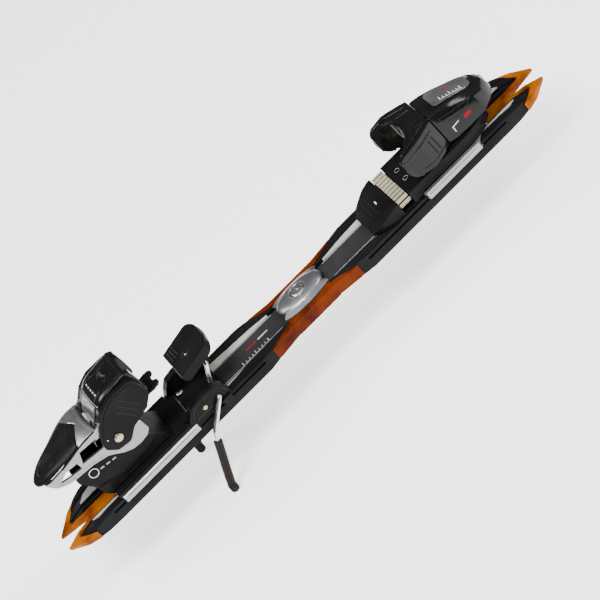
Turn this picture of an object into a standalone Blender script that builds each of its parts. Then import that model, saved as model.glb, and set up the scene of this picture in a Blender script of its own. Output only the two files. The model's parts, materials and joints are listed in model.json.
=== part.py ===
"""Downhill ski binding on a rail plate: toe piece, step-in heel, lever and ski brake.

+X points to the ski tip, +Z up, and the origin lies on the plate's underside under the centre screw.
The heel stands open and the brake is down. Lengths below are millimetres, and M turns them into metres.
"""
import math

import bmesh
import bpy
from mathutils import Matrix, Vector

M = 0.001
GAP = 0.3            # clearance between touching pieces

# Rail plate
PLATE_HALF = 34.0
PLATE_TOP = 14.0
FLOOR_TOP = 7.5
RIDGE_Y = 24.0
FOOT_Y = 15.6
FOOT_Z = 10.5
INLAY_DEPTH = 1.2
GROOVE_Z = (9.4, 11.9)
FRONT_END = 279.0
REAR_SHIFT = 18.0    # the rear rail is this much longer than the front one
WEB_HALF = 18.0
WEB_TOP = 4.5
DAMPER_HALF = 27.5
DAMPER_TOP = 13.0
BAND_HALF = 15.2
BAND_Z = (7.8, 10.7)
BAND_X = (-230.0, 220.0)

# Sliding tracks
TRACK_HALF = 36.0
TRACK_Z = (14.3, 16.9)
TRACK_SKIRT = 1.7
TRACK_BOTTOM = 9.9

# Toe piece
TOE_AXIS_X = 205.0
DECK_TOP = 28.4
BELT_X = (118.5, 131.0)
BELT_HALF = 29.0
BELT_Z = (18.0, 29.5)
BELT_WALL = 1.6
JAW_BACK = 189.8
HOUSING_FRONT = 254.5
TOE_SPRING_Z = 40.0

# Heel piece
HEEL_PIVOT = (-205.5, 0.0, 63.0)
HEEL_OPEN = math.radians(42.0)
AXLE_R = 3.0
LUG_Y = (14.0, 22.0)
CUP_HALF = 23.5
CHEEK_Y = (23.8, 30.0)
LEVER_Y = (24.1, 27.0)

# Brake
BRAKE_AXIS = (-117.0, 0.0, 21.5)
PEDAL_AXIS = (-104.5, 0.0, 45.5)
WIRE_R = 2.35
BLOCK_Y = (25.0, 34.0)
PEDAL_HALF = 24.4


# ---------- helpers ----------

def clear_scene():
    for item in list(bpy.data.objects):
        bpy.data.objects.remove(item, do_unlink=True)


def new_collection(name):
    group = bpy.data.collections.new(name)
    bpy.context.scene.collection.children.link(group)
    return group


clear_scene()
PARTS = new_collection("downhill_binding")
CUTTERS = new_collection("cutters")


def material(name, colour, roughness, metallic=0.0):
    made = bpy.data.materials.new(name)
    made.use_nodes = True
    shader = made.node_tree.nodes["Principled BSDF"]
    shader.inputs["Base Color"].default_value = (*colour, 1.0)
    shader.inputs["Roughness"].default_value = roughness
    shader.inputs["Metallic"].default_value = metallic
    made.diffuse_color = (*colour, 1.0)
    return made


def finish(obj, colour, roughness, metallic=0.0, pivot=None):
    """Give a part its own material and, for a moving part, an origin on its joint's axis."""
    obj.data.materials.append(material(obj.name + "_material", colour, roughness, metallic))
    if pivot is not None:
        offset = Vector(pivot) * M
        obj.data.transform(Matrix.Translation(-offset))
        obj.location = offset
    return obj


def add_mesh(name, mesh, group=None):
    obj = bpy.data.objects.new(name, mesh)
    (group or PARTS).objects.link(obj)
    return obj


def from_bmesh(name, bm):
    mesh = bpy.data.meshes.new(name)
    bmesh.ops.recalc_face_normals(bm, faces=bm.faces)
    bm.to_mesh(mesh)
    bm.free()
    return add_mesh(name, mesh)


def box(name, x, y, z):
    """A box between two limits on each axis."""
    bm = bmesh.new()
    bmesh.ops.create_cube(bm, size=1.0)
    size = Vector((x[1] - x[0], y[1] - y[0], z[1] - z[0])) * M
    middle = Vector((x[0] + x[1], y[0] + y[1], z[0] + z[1])) * M / 2
    bm.transform(Matrix.Translation(middle) @ Matrix.Diagonal((*size, 1.0)))
    return from_bmesh(name, bm)


AXIS_TURN = {
    "x": Matrix.Rotation(math.pi / 2, 4, "Y"),
    "y": Matrix.Rotation(-math.pi / 2, 4, "X"),
    "z": Matrix.Identity(4),
}


def cylinder(name, axis, centre, radius, length, sides=20):
    bm = bmesh.new()
    bmesh.ops.create_cone(bm, cap_ends=True, segments=sides, radius1=radius * M, radius2=radius * M,
                          depth=length * M)
    bm.transform(Matrix.Translation(Vector(centre) * M) @ AXIS_TURN[axis])
    return from_bmesh(name, bm)


def rounded(points, steps=3):
    """An outline whose corners given as (a, b, radius) become arcs."""
    result = []
    count = len(points)
    for index, corner in enumerate(points):
        here = Vector(corner[:2])
        radius = corner[2] if len(corner) > 2 else 0.0
        if radius <= 0.0:
            result.append(tuple(here))
            continue
        back = (Vector(points[index - 1][:2]) - here)
        ahead = (Vector(points[(index + 1) % count][:2]) - here)
        half_angle = back.angle(ahead) / 2
        reach = min(radius / math.tan(half_angle), back.length * 0.48, ahead.length * 0.48)
        radius = reach * math.tan(half_angle)
        centre = here + (back.normalized() + ahead.normalized()).normalized() * radius / math.sin(half_angle)
        start = here + back.normalized() * reach - centre
        turn = start.angle_signed(here + ahead.normalized() * reach - centre)
        for step in range(steps + 1):
            angle = -turn * step / steps
            spun = Vector((start.x * math.cos(angle) - start.y * math.sin(angle),
                           start.x * math.sin(angle) + start.y * math.cos(angle)))
            result.append(tuple(centre + spun))
    return result


PLANE_TURN = {
    "xy": Matrix.Identity(4),
    "xz": Matrix.Rotation(math.pi / 2, 4, "X"),
    "yz": Matrix(((0, 0, 1, 0), (1, 0, 0, 0), (0, 1, 0, 0), (0, 0, 0, 1))),
}
PLANE_NORMAL = {"xy": Vector((0, 0, 1)), "xz": Vector((0, 1, 0)), "yz": Vector((1, 0, 0))}


def to_mesh(curve_object):
    """Turn a curve object into a closed mesh object of the same name."""
    evaluated = curve_object.evaluated_get(bpy.context.evaluated_depsgraph_get())
    mesh = bpy.data.meshes.new_from_object(evaluated)
    mesh.transform(curve_object.matrix_world)
    name = curve_object.name
    bpy.data.objects.remove(curve_object, do_unlink=True)
    bm = bmesh.new()
    bm.from_mesh(mesh)
    bmesh.ops.remove_doubles(bm, verts=bm.verts, dist=0.00001)
    bmesh.ops.recalc_face_normals(bm, faces=bm.faces)
    bm.to_mesh(mesh)
    bm.free()
    return add_mesh(name, mesh)


def prism(name, plane, outline, low, high):
    """A flat outline given in a plane, extruded between two heights on the third axis."""
    curve = bpy.data.curves.new(name, "CURVE")
    curve.dimensions = "2D"
    curve.fill_mode = "BOTH"
    curve.extrude = (high - low) / 2 * M
    points = rounded(outline)
    spline = curve.splines.new("POLY")
    spline.points.add(len(points) - 1)
    for point, (a, b) in zip(spline.points, points):
        point.co = (a * M, b * M, 0.0, 1.0)
    spline.use_cyclic_u = True
    obj = bpy.data.objects.new(name, curve)
    PARTS.objects.link(obj)
    middle = PLANE_NORMAL[plane] * (low + high) / 2 * M
    obj.matrix_world = Matrix.Translation(middle) @ PLANE_TURN[plane]
    bpy.context.view_layer.update()
    return to_mesh(obj)


def wire(name, points, radius, resolution=2):
    """A round wire through a list of points, as a closed mesh."""
    curve = bpy.data.curves.new(name, "CURVE")
    curve.dimensions = "3D"
    curve.bevel_depth = radius * M
    curve.bevel_resolution = resolution
    curve.use_fill_caps = True
    spline = curve.splines.new("POLY")
    spline.points.add(len(points) - 1)
    for point, place in zip(spline.points, points):
        point.co = (*(Vector(place) * M), 1.0)
    obj = bpy.data.objects.new(name, curve)
    PARTS.objects.link(obj)
    bpy.context.view_layer.update()
    return to_mesh(obj)


def coil(name, axis, centre, radius, wire_radius, length, turns, steps=9):
    """A helical spring centred on a point, along the X or the Y axis."""
    points = []
    for step in range(turns * steps + 1):
        share = step / (turns * steps)
        angle = share * turns * 2 * math.pi
        along = (share - 0.5) * length
        across = (radius * math.cos(angle), radius * math.sin(angle))
        local = (along, *across) if axis == "x" else (across[0], along, across[1])
        points.append(Vector(centre) + Vector(local))
    return wire(name, points, wire_radius, resolution=0)


def turned(name, axis, centre, profile, sides=20):
    """A solid of revolution: profile points are (radius, height), from the top down."""
    bm = bmesh.new()
    verts = [bm.verts.new((radius * M, 0.0, height * M)) for radius, height in profile]
    for first, second in zip(verts, verts[1:]):
        bm.edges.new((first, second))
    mesh = bpy.data.meshes.new(name)
    bm.to_mesh(mesh)
    bm.free()
    obj = add_mesh(name, mesh)
    screw = obj.modifiers.new("turn", "SCREW")
    screw.axis = "Z"
    screw.steps = sides
    screw.render_steps = sides
    screw.use_merge_vertices = True
    screw.merge_threshold = 0.00001
    obj.matrix_world = Matrix.Translation(Vector(centre) * M) @ AXIS_TURN[axis]
    return obj


def loft(name, sections):
    """A skin between cross-sections with equal point counts, closed with a cap at each end."""
    bm = bmesh.new()
    rings = [[bm.verts.new(Vector(point) * M) for point in section] for section in sections]
    count = len(rings[0])
    for near, far in zip(rings, rings[1:]):
        for index in range(count):
            after = (index + 1) % count
            bm.faces.new((near[index], near[after], far[after], far[index]))
    bm.faces.new(list(reversed(rings[0])))
    bm.faces.new(rings[-1])
    return from_bmesh(name, bm)


def mirrored(half):
    """Both sides of a cross-section given as (x, y, z) points on its +Y side."""
    return half + [(x, -y, z) for x, y, z in reversed(half)]


def both_halves(half):
    """A closed plan outline from the points on its +Y side."""
    return half + [(x, -y, *rest) for x, y, *rest in reversed(half)]


def boolean(obj, other, operation):
    for group in other.users_collection:
        group.objects.unlink(other)
    CUTTERS.objects.link(other)
    other.hide_render = True
    other.display_type = "WIRE"
    modifier = obj.modifiers.new(operation.lower(), "BOOLEAN")
    modifier.operation = operation
    modifier.solver = "EXACT"
    modifier.object = other
    return obj


def cut(obj, cutter):
    return boolean(obj, cutter, "DIFFERENCE")


def join(obj, other):
    return boolean(obj, other, "UNION")


def common(obj, other):
    return boolean(obj, other, "INTERSECT")


def bevel(obj, width, segments=2, angle=35.0):
    modifier = obj.modifiers.new("bevel", "BEVEL")
    modifier.width = width * M
    modifier.segments = segments
    modifier.limit_method = "ANGLE"
    modifier.angle_limit = math.radians(angle)
    return obj


def both_sides(low, high):
    """The +Y and the -Y span between two distances from the centre plane, with a name for each."""
    return (("left", (low, high)), ("right", (-high, -low)))


# ---------- rail plate ----------

RAIL_STATIONS = ((26, 19.5, 12.5), (36, 22.5, 13), (46, 27, 13.5), (55, 31.5, 14), (66, 34, 14), (84, 34, 14),
                 (110, 34, 14), (240, 34, 14), (253, 33.4, 12.8), (262, 31.5, 11), (270, 28, 8.5),
                 (281, 17, 5.2))
CHARCOAL = (0.035, 0.036, 0.04)
AMBER_DEEP = (0.55, 0.16, 0.02)
AMBER_BRIGHT = (0.85, 0.42, 0.03)


def ridge_at(x):
    """Half-width of the ridge beside the channel: narrow at the middle, full under the tracks."""
    if x < 84:
        return 16.4 + (x - 26) * (21 - 16.4) / (84 - 26)
    return min(RIDGE_Y, 21 + (x - 84) * (RIDGE_Y - 21) / (110 - 84))


def rail_section(x, half, top, side):
    ridge = min(ridge_at(x), half - 1.5)
    foot_z = min(FOOT_Z, top - 1.0) - INLAY_DEPTH
    floor = min(FLOOR_TOP, foot_z - 1.0)
    stretch = REAR_SHIFT * min(1.0, max(0.0, (x - 110) / 130)) if side < 0 else 0.0
    place = side * (x + stretch)
    return mirrored([(place, half, 0), (place, half, top - 0.8), (place, half - 0.8, top),
                     (place, ridge, top), (place, ridge - 0.1, top - INLAY_DEPTH),
                     (place, FOOT_Y, foot_z), (place, FOOT_Y, floor)])


def rail_body(name, side):
    return loft(name, [rail_section(x, half, top, side) for x, half, top in RAIL_STATIONS])


def make_rail_plate():
    plate = rail_body("rail_plate", 1)
    join(plate, rail_body("rear_rail_body", -1))
    join(plate, box("middle_web", (-30, 30), (-WEB_HALF, WEB_HALF), (0, WEB_TOP)))
    for side in (1, -1):
        shift = REAR_SHIFT if side < 0 else 0.0
        slot = box("tongue_slot", sorted((side * (228 + shift), side * (300 + shift))), (-9.8, 9.8), (-1, 20))
        cut(plate, slot)
        edge = [(278, 60), (262.3, 32.5), (272.3, 22.0), (279.3, 13.4), (277, 9), (300, 9), (300, 60)]
        for hand in (1, -1):
            outline = [(side * (x + shift), hand * y) for x, y in edge]
            cut(plate, prism("rail_end_trim", "xy", outline, -1, 20))
            reach = sorted((side * 66, side * (240 + shift)))
            cut(plate, box("rail_groove", reach, sorted((hand * 32, hand * 40)), GROOVE_Z))
    cut(plate, cylinder("screw_hole", "z", (0, 0, 4), 3.3, 5.6))
    for index, x in enumerate(PLATE_SCREW_X):
        cut(plate, turned(f"plate_screw_seat_{index}", "z", (x, 0, 0), [(0, 9), (5.3, 9), (5.3, 4.7),
                                                                        (2.6, 2.5), (2.6, 1.2), (0, 1.2)]))
    return finish(plate, CHARCOAL, 0.55)


PLATE_SCREW_X = (-215.0, -60.0, 60.0, 210.0)


def make_plate_screws():
    for index, x in enumerate(PLATE_SCREW_X):
        profile = [(0, 7.3), (5.0, 7.3), (5.0, 5.1), (2.3, 2.8), (2.3, 1.5), (0, 1.5)]
        screw = turned(f"plate_screw_{index + 1}", "z", (x, 0, 0), profile, 12)
        finish(screw, (0.5, 0.5, 0.52), 0.35, 1.0)


def make_connecting_band():
    band = box("connecting_band", BAND_X, (-BAND_HALF, BAND_HALF), BAND_Z)
    bevel(band, 0.5, 1)
    cut(band, cylinder("band_screw_hole", "z", (0, 0, 9), 3.3, 8))
    return finish(band, (0.07, 0.07, 0.075), 0.5)


def inlay_section(x, top, place, side, half_end):
    """A thin strip lying on the slope between the ridge and the channel."""
    ridge = ridge_at(x)
    foot_z = min(FOOT_Z, top - 1.0)
    outer = min(ridge - 0.4, half_end)
    slope = (top - foot_z) / (ridge - FOOT_Y)
    inner = FOOT_Y + 0.3
    top_out = foot_z + (outer - FOOT_Y) * slope
    top_in = foot_z + (inner - FOOT_Y) * slope
    drop = INLAY_DEPTH - GAP
    return [(place, side * outer, top_out), (place, side * outer, top_out - drop),
            (place, side * inner, top_in - drop), (place, side * inner, top_in)]


def make_inlays():
    stations = ((36, 13.0, 24), (46, 13.5, 24), (55, 14, 24), (66, 14, 24), (84, 14, 24), (110, 14, 24),
                (240, 14, 24), (253, 12.8, 22), (260, 11.4, 16.6))
    for end_name, end in (("front", 1), ("rear", -1)):
        for side_name, side in (("left", 1), ("right", -1)):
            sections = []
            for x, top, half_end in stations:
                stretch = REAR_SHIFT * min(1.0, max(0.0, (x - 110) / 130)) if end < 0 else 0.0
                sections.append(inlay_section(x, top, end * (x + stretch), side, half_end))
            inlay = loft(f"inlay_{end_name}_{side_name}", sections)
            finish(inlay, (0.55, 0.53, 0.5), 0.5)


def make_center_damper():
    """Amber block under the cap, with wedges that reach between the black rail ends."""
    middle = box("center_damper", (-25.7, 25.7), (-DAMPER_HALF, DAMPER_HALF), (0, DAMPER_TOP))
    for end in (1, -1):
        for side in (1, -1):
            outline = [(20, 19.2), (25.4, 20.0), (36, 23.3), (46, 28.0), (54, 31.6), (50, 31.6),
                       (38, 29.4), (27, 27.5), (20, 27.4)]
            wedge = prism("damper_wedge", "xy", [(end * x, side * y) for x, y in outline], 0.5, DAMPER_TOP - 0.1)
            join(middle, wedge)
    cut(middle, box("damper_channel", (-60, 60), (-BAND_HALF - 0.4, BAND_HALF + 0.4), (FLOOR_TOP, 20)))
    cut(middle, box("web_room", (-60, 60), (-WEB_HALF - 0.3, WEB_HALF + 0.3), (-1, WEB_TOP + GAP)))
    cut(middle, cylinder("damper_screw_hole", "z", (0, 0, 6), 3.3, 8))
    return finish(middle, AMBER_DEEP, 0.3)


def make_tip_damper(name, side):
    shift = REAR_SHIFT if side < 0 else 0.0
    half = [(229, 9.4), (277.4, 9.4), (279.8, 13.4), (272.8, 22.4), (262.8, 32.6), (266, 31.6),
            (277, 27, 4), (286, 19, 4), (293, 13, 2), (295, 10, 2), (262, 3, 2)]
    tip = prism(name, "xy", [(side * (x + shift), *rest) for x, *rest in both_halves(half)], 0, 10)
    slope = [(240, 14), (297, 1.7), (320, 1.7), (320, 30), (240, 30)]
    cut(tip, prism("tip_slope", "xz", [(side * (x + shift), z) for x, z in slope], -40, 40))
    cut(tip, box("tongue_step", sorted((side * (220 + shift), side * (277.4 + shift))), (-9.7, 9.7), (6.0, 30)))
    return finish(tip, AMBER_BRIGHT, 0.3)


def cap_ring(half_x, half_y, z, flare=0.0, steps=32):
    """An oval ring, drawn out to a point at both ends by the flare."""
    ring = []
    for step in range(steps):
        angle = 2 * math.pi * step / steps
        pull = abs(math.cos(angle)) ** 6 * flare
        ring.append((math.copysign(abs(math.cos(angle)) * half_x + pull, math.cos(angle)),
                     half_y * math.sin(angle), z))
    return ring


def make_center_cap():
    rings = [cap_ring(28, 21, 13.4, 5), cap_ring(28, 20.6, 14.4, 4.5), cap_ring(27, 19.4, 16.4, 1.5),
             cap_ring(25, 17.5, 18.2), cap_ring(20, 13.5, 19.4), cap_ring(13, 10, 19.7)]
    cap = loft("center_cap", rings)
    cut(cap, cylinder("cap_seat", "z", (0, 0, 20), 7.9, 5.0))
    cut(cap, cylinder("cap_hole", "z", (0, 0, 15), 3.3, 10))
    return finish(cap, (0.62, 0.63, 0.65), 0.3, 0.9)


def make_center_screw():
    profile = [(0, 19.6), (5.5, 19.5), (7.0, 18.9), (7.5, 18.0), (7.5, 17.8), (3.0, 17.8), (3.0, 1.6), (0, 1.6)]
    screw = turned("center_screw", "z", (0, 0, 0), profile)
    for name, x, y in (("cross_slot_x", 3.6, 0.7), ("cross_slot_y", 0.7, 3.6)):
        cut(screw, box(name, (-x, x), (-y, y), (17.9, 25)))
    return finish(screw, (0.7, 0.7, 0.72), 0.25, 1.0)


# ---------- tracks ----------

def make_track(name, plan_half):
    """A C-shaped slider that grips the grooves along the plate's sides."""
    half = [(TRACK_HALF - 1.2, TRACK_Z[1]), (TRACK_HALF, TRACK_Z[1] - 1.2), (TRACK_HALF, TRACK_BOTTOM),
            (32.4, TRACK_BOTTOM), (32.4, 11.4), (TRACK_HALF - TRACK_SKIRT, 11.4),
            (TRACK_HALF - TRACK_SKIRT, TRACK_Z[0])]
    outline = half + [(-y, z) for y, z in reversed(half)]
    track = prism(name, "yz", outline, plan_half[0][0] - 1, plan_half[-1][0] + 1)
    common(track, prism("track_plan", "xy", both_halves(plan_half), 0, 30))
    return finish(track, (0.6, 0.6, 0.6), 0.45, 0.7)


def make_tracks():
    make_track("toe_track", [(141.8, 32.6), (144.5, 38), (207, 38), (222.7, 18.5)])
    make_track("heel_track", [(-243.6, 32.6), (-241, 38), (-150, 38), (-148, 32.6)])


# ---------- toe piece ----------

def make_toe_pedestal():
    """Black base with the sloping front of the sole pad, a gap for the belt, and the deck."""
    profile = [(84, 14.4), (84, 16, 0.8), (90, 19.5, 3), (98, 22.8, 6), (107, 26.2, 6), (114, 28.0),
               (117.7, DECK_TOP), (117.7, 19.9), (118.0, 19.7), (131.6, 19.7), (131.9, 19.9),
               (131.9, DECK_TOP), (236, DECK_TOP, 1), (236, 17.2), (141.2, 17.2), (141.2, 14.4)]
    pedestal = prism("toe_pedestal", "xz", profile, -31, 31)
    half = [(84, 20, 6), (90, 25.5, 8), (104, 30.3, 20), (116, 31), (206, 31, 10), (222, 27, 10), (236, 14, 6)]
    common(pedestal, prism("pedestal_plan", "xy", both_halves(half), 0, 60))
    bevel(pedestal, 2.2, 2, 40)
    bridge = box("belt_bridge", (117.0, 132.5), (-19.6, 19.6), (20.1, 27.4))
    for side in (1, -1):
        cut(pedestal, box("belt_pass", (118.0, 131.6), sorted((side * 19.6, side * 40)), (14.9, 30)))
    cut(pedestal, box("belt_under", (118.0, 131.6), (-40, 40), (15.9, 19.8)))
    join(pedestal, bridge)
    return finish(pedestal, (0.02, 0.02, 0.022), 0.3)


def loop_outline(half, low, high, radius, inset):
    return [(-half + inset, low + inset, radius), (half - inset, low + inset, radius),
            (half - inset, high - inset, radius), (-half + inset, high - inset, radius)]


def make_afd_belt():
    """Endless sole belt that shuttles sideways over its bridge."""
    belt = prism("afd_belt", "yz", loop_outline(BELT_HALF, *BELT_Z, 5.0, 0.0), BELT_X[0], BELT_X[1])
    inner = loop_outline(BELT_HALF, *BELT_Z, 3.5, BELT_WALL)
    cut(belt, prism("belt_inside", "yz", inner, BELT_X[0] - 2, BELT_X[1] + 2))
    return finish(belt, (0.4, 0.36, 0.25), 0.6)


def make_toe_post():
    post = turned("toe_post", "z", (TOE_AXIS_X, 0, 0), [(0, 55), (7.0, 55), (8.0, 54), (8.0, 28.7), (0, 28.7)])
    return finish(post, (0.5, 0.5, 0.52), 0.35, 1.0)


def make_toe_jaw():
    """Horseshoe jaw that holds the boot's toe: a plan outline shared with a side profile."""
    outer = [(144, 30, 2), (146, 34.5, 3), (150, 36.3, 4), (166, 36.3, 18), (181, 30, 18), (JAW_BACK, 25.5)]
    inner = [(JAW_BACK, -25.5), (181, -30, 18), (166, -36.3, 18), (150, -36.3, 4), (146, -34.5, 3), (144, -30, 2)]
    mouth = [(146.5, -28), (156, -25, 8), (166, -14, 10), (168.5, 0, 14), (166, 14, 10), (156, 25, 8), (146.5, 28)]
    jaw = prism("toe_jaw", "xy", outer + inner + mouth, 20, 70)
    side = [(140, 41), (147, 39, 2), (158, 33.5, 6), (172, 30.7, 6), (JAW_BACK + 4, 30.7), (JAW_BACK + 4, 64),
            (165, 64.5, 10), (150, 62.5, 5), (143.5, 58, 4), (140, 50)]
    common(jaw, prism("jaw_side", "xz", side, -45, 45))
    bevel(jaw, 1.2, 1, 40)
    return finish(jaw, (0.015, 0.015, 0.017), 0.2, 0, (TOE_AXIS_X, 0, 0))


HOUSING_STATIONS = ((190.2, 25.2, 24.2, 54.5, 21.0, 64.0), (201, 26.6, 25.0, 53.5, 19.5, 63.0),
                    (214, 27.0, 24.6, 51.0, 17.0, 60.0), (234, 26.0, 22.0, 46.5, 14.0, 53.0),
                    (245.5, 18.5, 15.0, 42.0, 10.0, 49.5), (251.5, 11.0, 9.0, 38.5, 6.5, 45.5),
                    (HOUSING_FRONT, 5.5, 5.0, 35.0, 3.5, 41.5))


def housing_section(station, shrink, bottom):
    x, base, shoulder, shoulder_z, top_half, top_z = station
    return mirrored([(x, max(base - shrink, 1), bottom), (x, max(shoulder - shrink, 0.8), shoulder_z - shrink * 0.5),
                     (x, max(top_half - shrink * 0.6, 0.6), top_z - shrink)])


def make_toe_housing():
    housing = loft("toe_housing", [housing_section(station, 0, 29.0) for station in HOUSING_STATIONS])
    bevel(housing, 1.2, 1, 25)
    inside = [housing_section(station, 2.6, 24.0) for station in HOUSING_STATIONS[1:-2]]
    start = [(193.0, y, z) for x, y, z in housing_section(HOUSING_STATIONS[0], 2.6, 24.0)]
    cut(housing, loft("housing_inside", [start] + inside))
    cut(housing, cylinder("toe_screw_bore", "x", (250, 0, TOE_SPRING_Z), 5.3, 16))
    cut(housing, box("scale_slot", (212, 232), (-6.5, 6.5), (46, 70)))
    return finish(housing, (0.015, 0.015, 0.017), 0.2, 0, (TOE_AXIS_X, 0, 0))


def roof_z(x):
    """Height of the housing's roof at its middle."""
    for first, second in zip(HOUSING_STATIONS, HOUSING_STATIONS[1:]):
        if x <= second[0]:
            share = (x - first[0]) / (second[0] - first[0])
            return first[5] + share * (second[5] - first[5])
    return HOUSING_STATIONS[-1][5]


def make_toe_window():
    def section(x, half):
        low = roof_z(x) + 0.35
        return mirrored([(x, half, low), (x, half, low + 0.5), (x, half - 0.6, low + 1.0)])

    window = loft("toe_window", [section(202.5, 10), section(205, 13.5), section(214, 13.2),
                                 section(234, 12.0), section(239, 10.5), section(242, 7)])
    return finish(window, (0.1, 0.1, 0.13), 0.1, 0, (TOE_AXIS_X, 0, 0))


def make_toe_inside():
    scale = box("toe_scale", (216, 222), (-5.5, 5.5), (50.0, 54.5))
    finish(scale, (0.8, 0.8, 0.8), 0.5, 0, (TOE_AXIS_X, 0, 0))
    spring = coil("toe_spring", "x", (232, 0, TOE_SPRING_Z), 5.2, 1.1, 17, 6)
    finish(spring, (0.35, 0.35, 0.37), 0.35, 1.0, (TOE_AXIS_X, 0, 0))
    profile = [(0, 241), (2.6, 241), (2.6, 221.6), (6.2, 221.6), (6.2, 217.5), (3.5, 215), (0, 214.2)]
    piston = turned("toe_piston", "x", (0, 0, TOE_SPRING_Z), profile)
    finish(piston, (0.45, 0.45, 0.47), 0.3, 1.0)
    head = [(0, 254.2), (4.4, 254.2), (5.0, 253.6), (5.0, 246.5), (2.2, 246.5), (2.2, 242.5), (0, 242.5)]
    screw = turned("toe_setting_screw", "x", (0, 0, TOE_SPRING_Z), head)
    cut(screw, box("toe_screw_slot", (251.8, 260), (-0.7, 0.7), (TOE_SPRING_Z - 3.4, TOE_SPRING_Z + 3.4)))
    finish(screw, (0.6, 0.6, 0.62), 0.3, 1.0)


# ---------- heel piece ----------

def heel_head_frame():
    """Empty on the heel's pivot: the head's parts are laid out closed and stand open through it."""
    pivot = bpy.data.objects.new("heel_head_pivot", None)
    PARTS.objects.link(pivot)
    pivot.location = Vector(HEEL_PIVOT) * M
    pivot.rotation_euler = (0.0, -HEEL_OPEN, 0.0)
    bpy.context.view_layer.update()
    return pivot


def hang(pivot, *objects):
    for obj in objects:
        local = obj.matrix_basis.copy()
        obj.parent = pivot
        obj.matrix_basis = local
    return objects[0]


def make_heel_bracket():
    px, _, pz = HEEL_PIVOT
    side = [(-245.3, 17.3), (-247.5, 19), (-251.8, 25, 3), (-252.7, 35.5, 4), (-256, 41, 4), (-261.5, 50, 2),
            (-261, 56.8, 1), (px - 20, 52.5, 4), (px - 11.6, 47.5, 3), (px - 11.6, pz, 0), (px + 11, pz, 0),
            (px + 11, 47.5, 2), (-193.5, 45, 2), (-168.5, 20, 3), (-168.5, 17.3)]
    bracket = prism("heel_bracket", "xz", side, -LUG_Y[1], LUG_Y[1])
    join(bracket, cylinder("lug_round", "y", (px - 0.3, 0, pz), 11.4, 2 * LUG_Y[1] - 0.01, 40))
    cut(bracket, box("lug_gap", (px - 30, px + 30), (-LUG_Y[0], LUG_Y[0]), (47.0, 90)))
    cut(bracket, cylinder("lug_bore", "y", HEEL_PIVOT, AXLE_R + GAP, 80))
    waist = [(-275, 18.5, 3), (-240, 22.5, 10), (-150, 22.5)]
    common(bracket, prism("bracket_plan", "xy", both_halves(waist), 0, 100))
    join(bracket, box("carrier_plate", (-244.5, -156.0), (-33.6, 33.6), (17.2, 19.8)))
    join(bracket, box("carrier_front", (-158.0, -149.0), (-24.4, 24.4), (17.2, 19.8)))
    return finish(bracket, (0.02, 0.02, 0.022), 0.35)


def make_heel_axle():
    profile = [(0, 32.2), (3.2, 32.0), (4.5, 31.2), (4.5, 30.3), (AXLE_R, 30.3)]
    profile += [(radius, -height) for radius, height in reversed(profile)]
    axle = turned("heel_axle", "y", HEEL_PIVOT, profile, 28)
    return finish(axle, (0.55, 0.45, 0.22), 0.35, 1.0)


CUP_SIDE = [(-9, -2), (-11, 9, 3), (-3, 15.5, 4), (10, 19, 6), (24, 19.8, 8), (36, 17, 8), (48, 8.5, 6),
            (59, 0, 3), (60.5, -5, 2), (53, -15, 6), (44, -25, 3), (30, -25, 2), (22, -19, 3), (10, -13.2, 3),
            (-3, -12, 4)]


def make_heel_cup(pivot):
    """Heel cup: a hollow block that opens forward in a U for the boot's heel."""
    cup = prism("heel_cup", "xz", CUP_SIDE, -CUP_HALF, CUP_HALF)
    bevel(cup, 1.4, 1, 30)
    cutters = [cylinder("heel_screw_bore", "x", (50, 0, 9.5), 5.2, 34),
               box("cup_room", (-20, 31), (-13.3, 13.3), (-40, 15.5)),
               cylinder("cup_bore", "y", (0, 0, 0), AXLE_R + GAP, 80, 24)]
    for _, span in both_sides(LUG_Y[0] - 0.4, LUG_Y[1] + 0.4):
        cutters.append(box("lug_room", (-25, 12.6), span, (-30, 12.6)))
    mouth = [(70, -17), (50, -16, 6), (37, -13, 8), (34, 0, 8), (37, 13, 8), (50, 16, 6), (70, 17)]
    cutters.append(prism("boot_mouth", "xy", mouth, -60, -1.5))
    for cutter in cutters:
        cut(cup, cutter)
    hang(pivot, cup, *cutters)
    return finish(cup, (0.015, 0.015, 0.017), 0.15)


def make_cheeks(pivot):
    """Side plates outside the lever, stepped inwards where they meet the cup."""
    outline = [(-12.5, -2), (-12.5, 10, 4), (-4, 16.5, 6), (8, 19, 6), (24, 19.5, 8), (37, 15, 8), (47, 6, 8),
               (56, -3, 5), (50, -15, 6), (43, -24, 3), (29, -24, 3), (22, -20.5, 5), (10, -14, 5), (-4, -13, 6)]
    for side_name, span in both_sides(*CHEEK_Y):
        cheek = prism(f"heel_cheek_{side_name}", "xz", outline, *span)
        bevel(cheek, 1.0, 1, 40)
        sign = 1 if span[0] > 0 else -1
        inner = sorted((sign * 20, sign * (LEVER_Y[1] + 0.4)))
        room = cylinder("lever_room", "y", (0, sum(inner) / 2, 0), 23.6, inner[1] - inner[0], 48)
        swing = prism("lever_swing", "xz", [(0, 0), (34, -13), (34, -40), (-40, -40), (-40, 0)], *inner)
        bore = cylinder("cheek_bore", "y", (0, sign * 28, 0), AXLE_R + GAP, 20, 24)
        for cutter in (room, swing, bore):
            cut(cheek, cutter)
        hang(pivot, cheek, room, swing, bore)
        finish(cheek, (0.02, 0.02, 0.022), 0.35)


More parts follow.
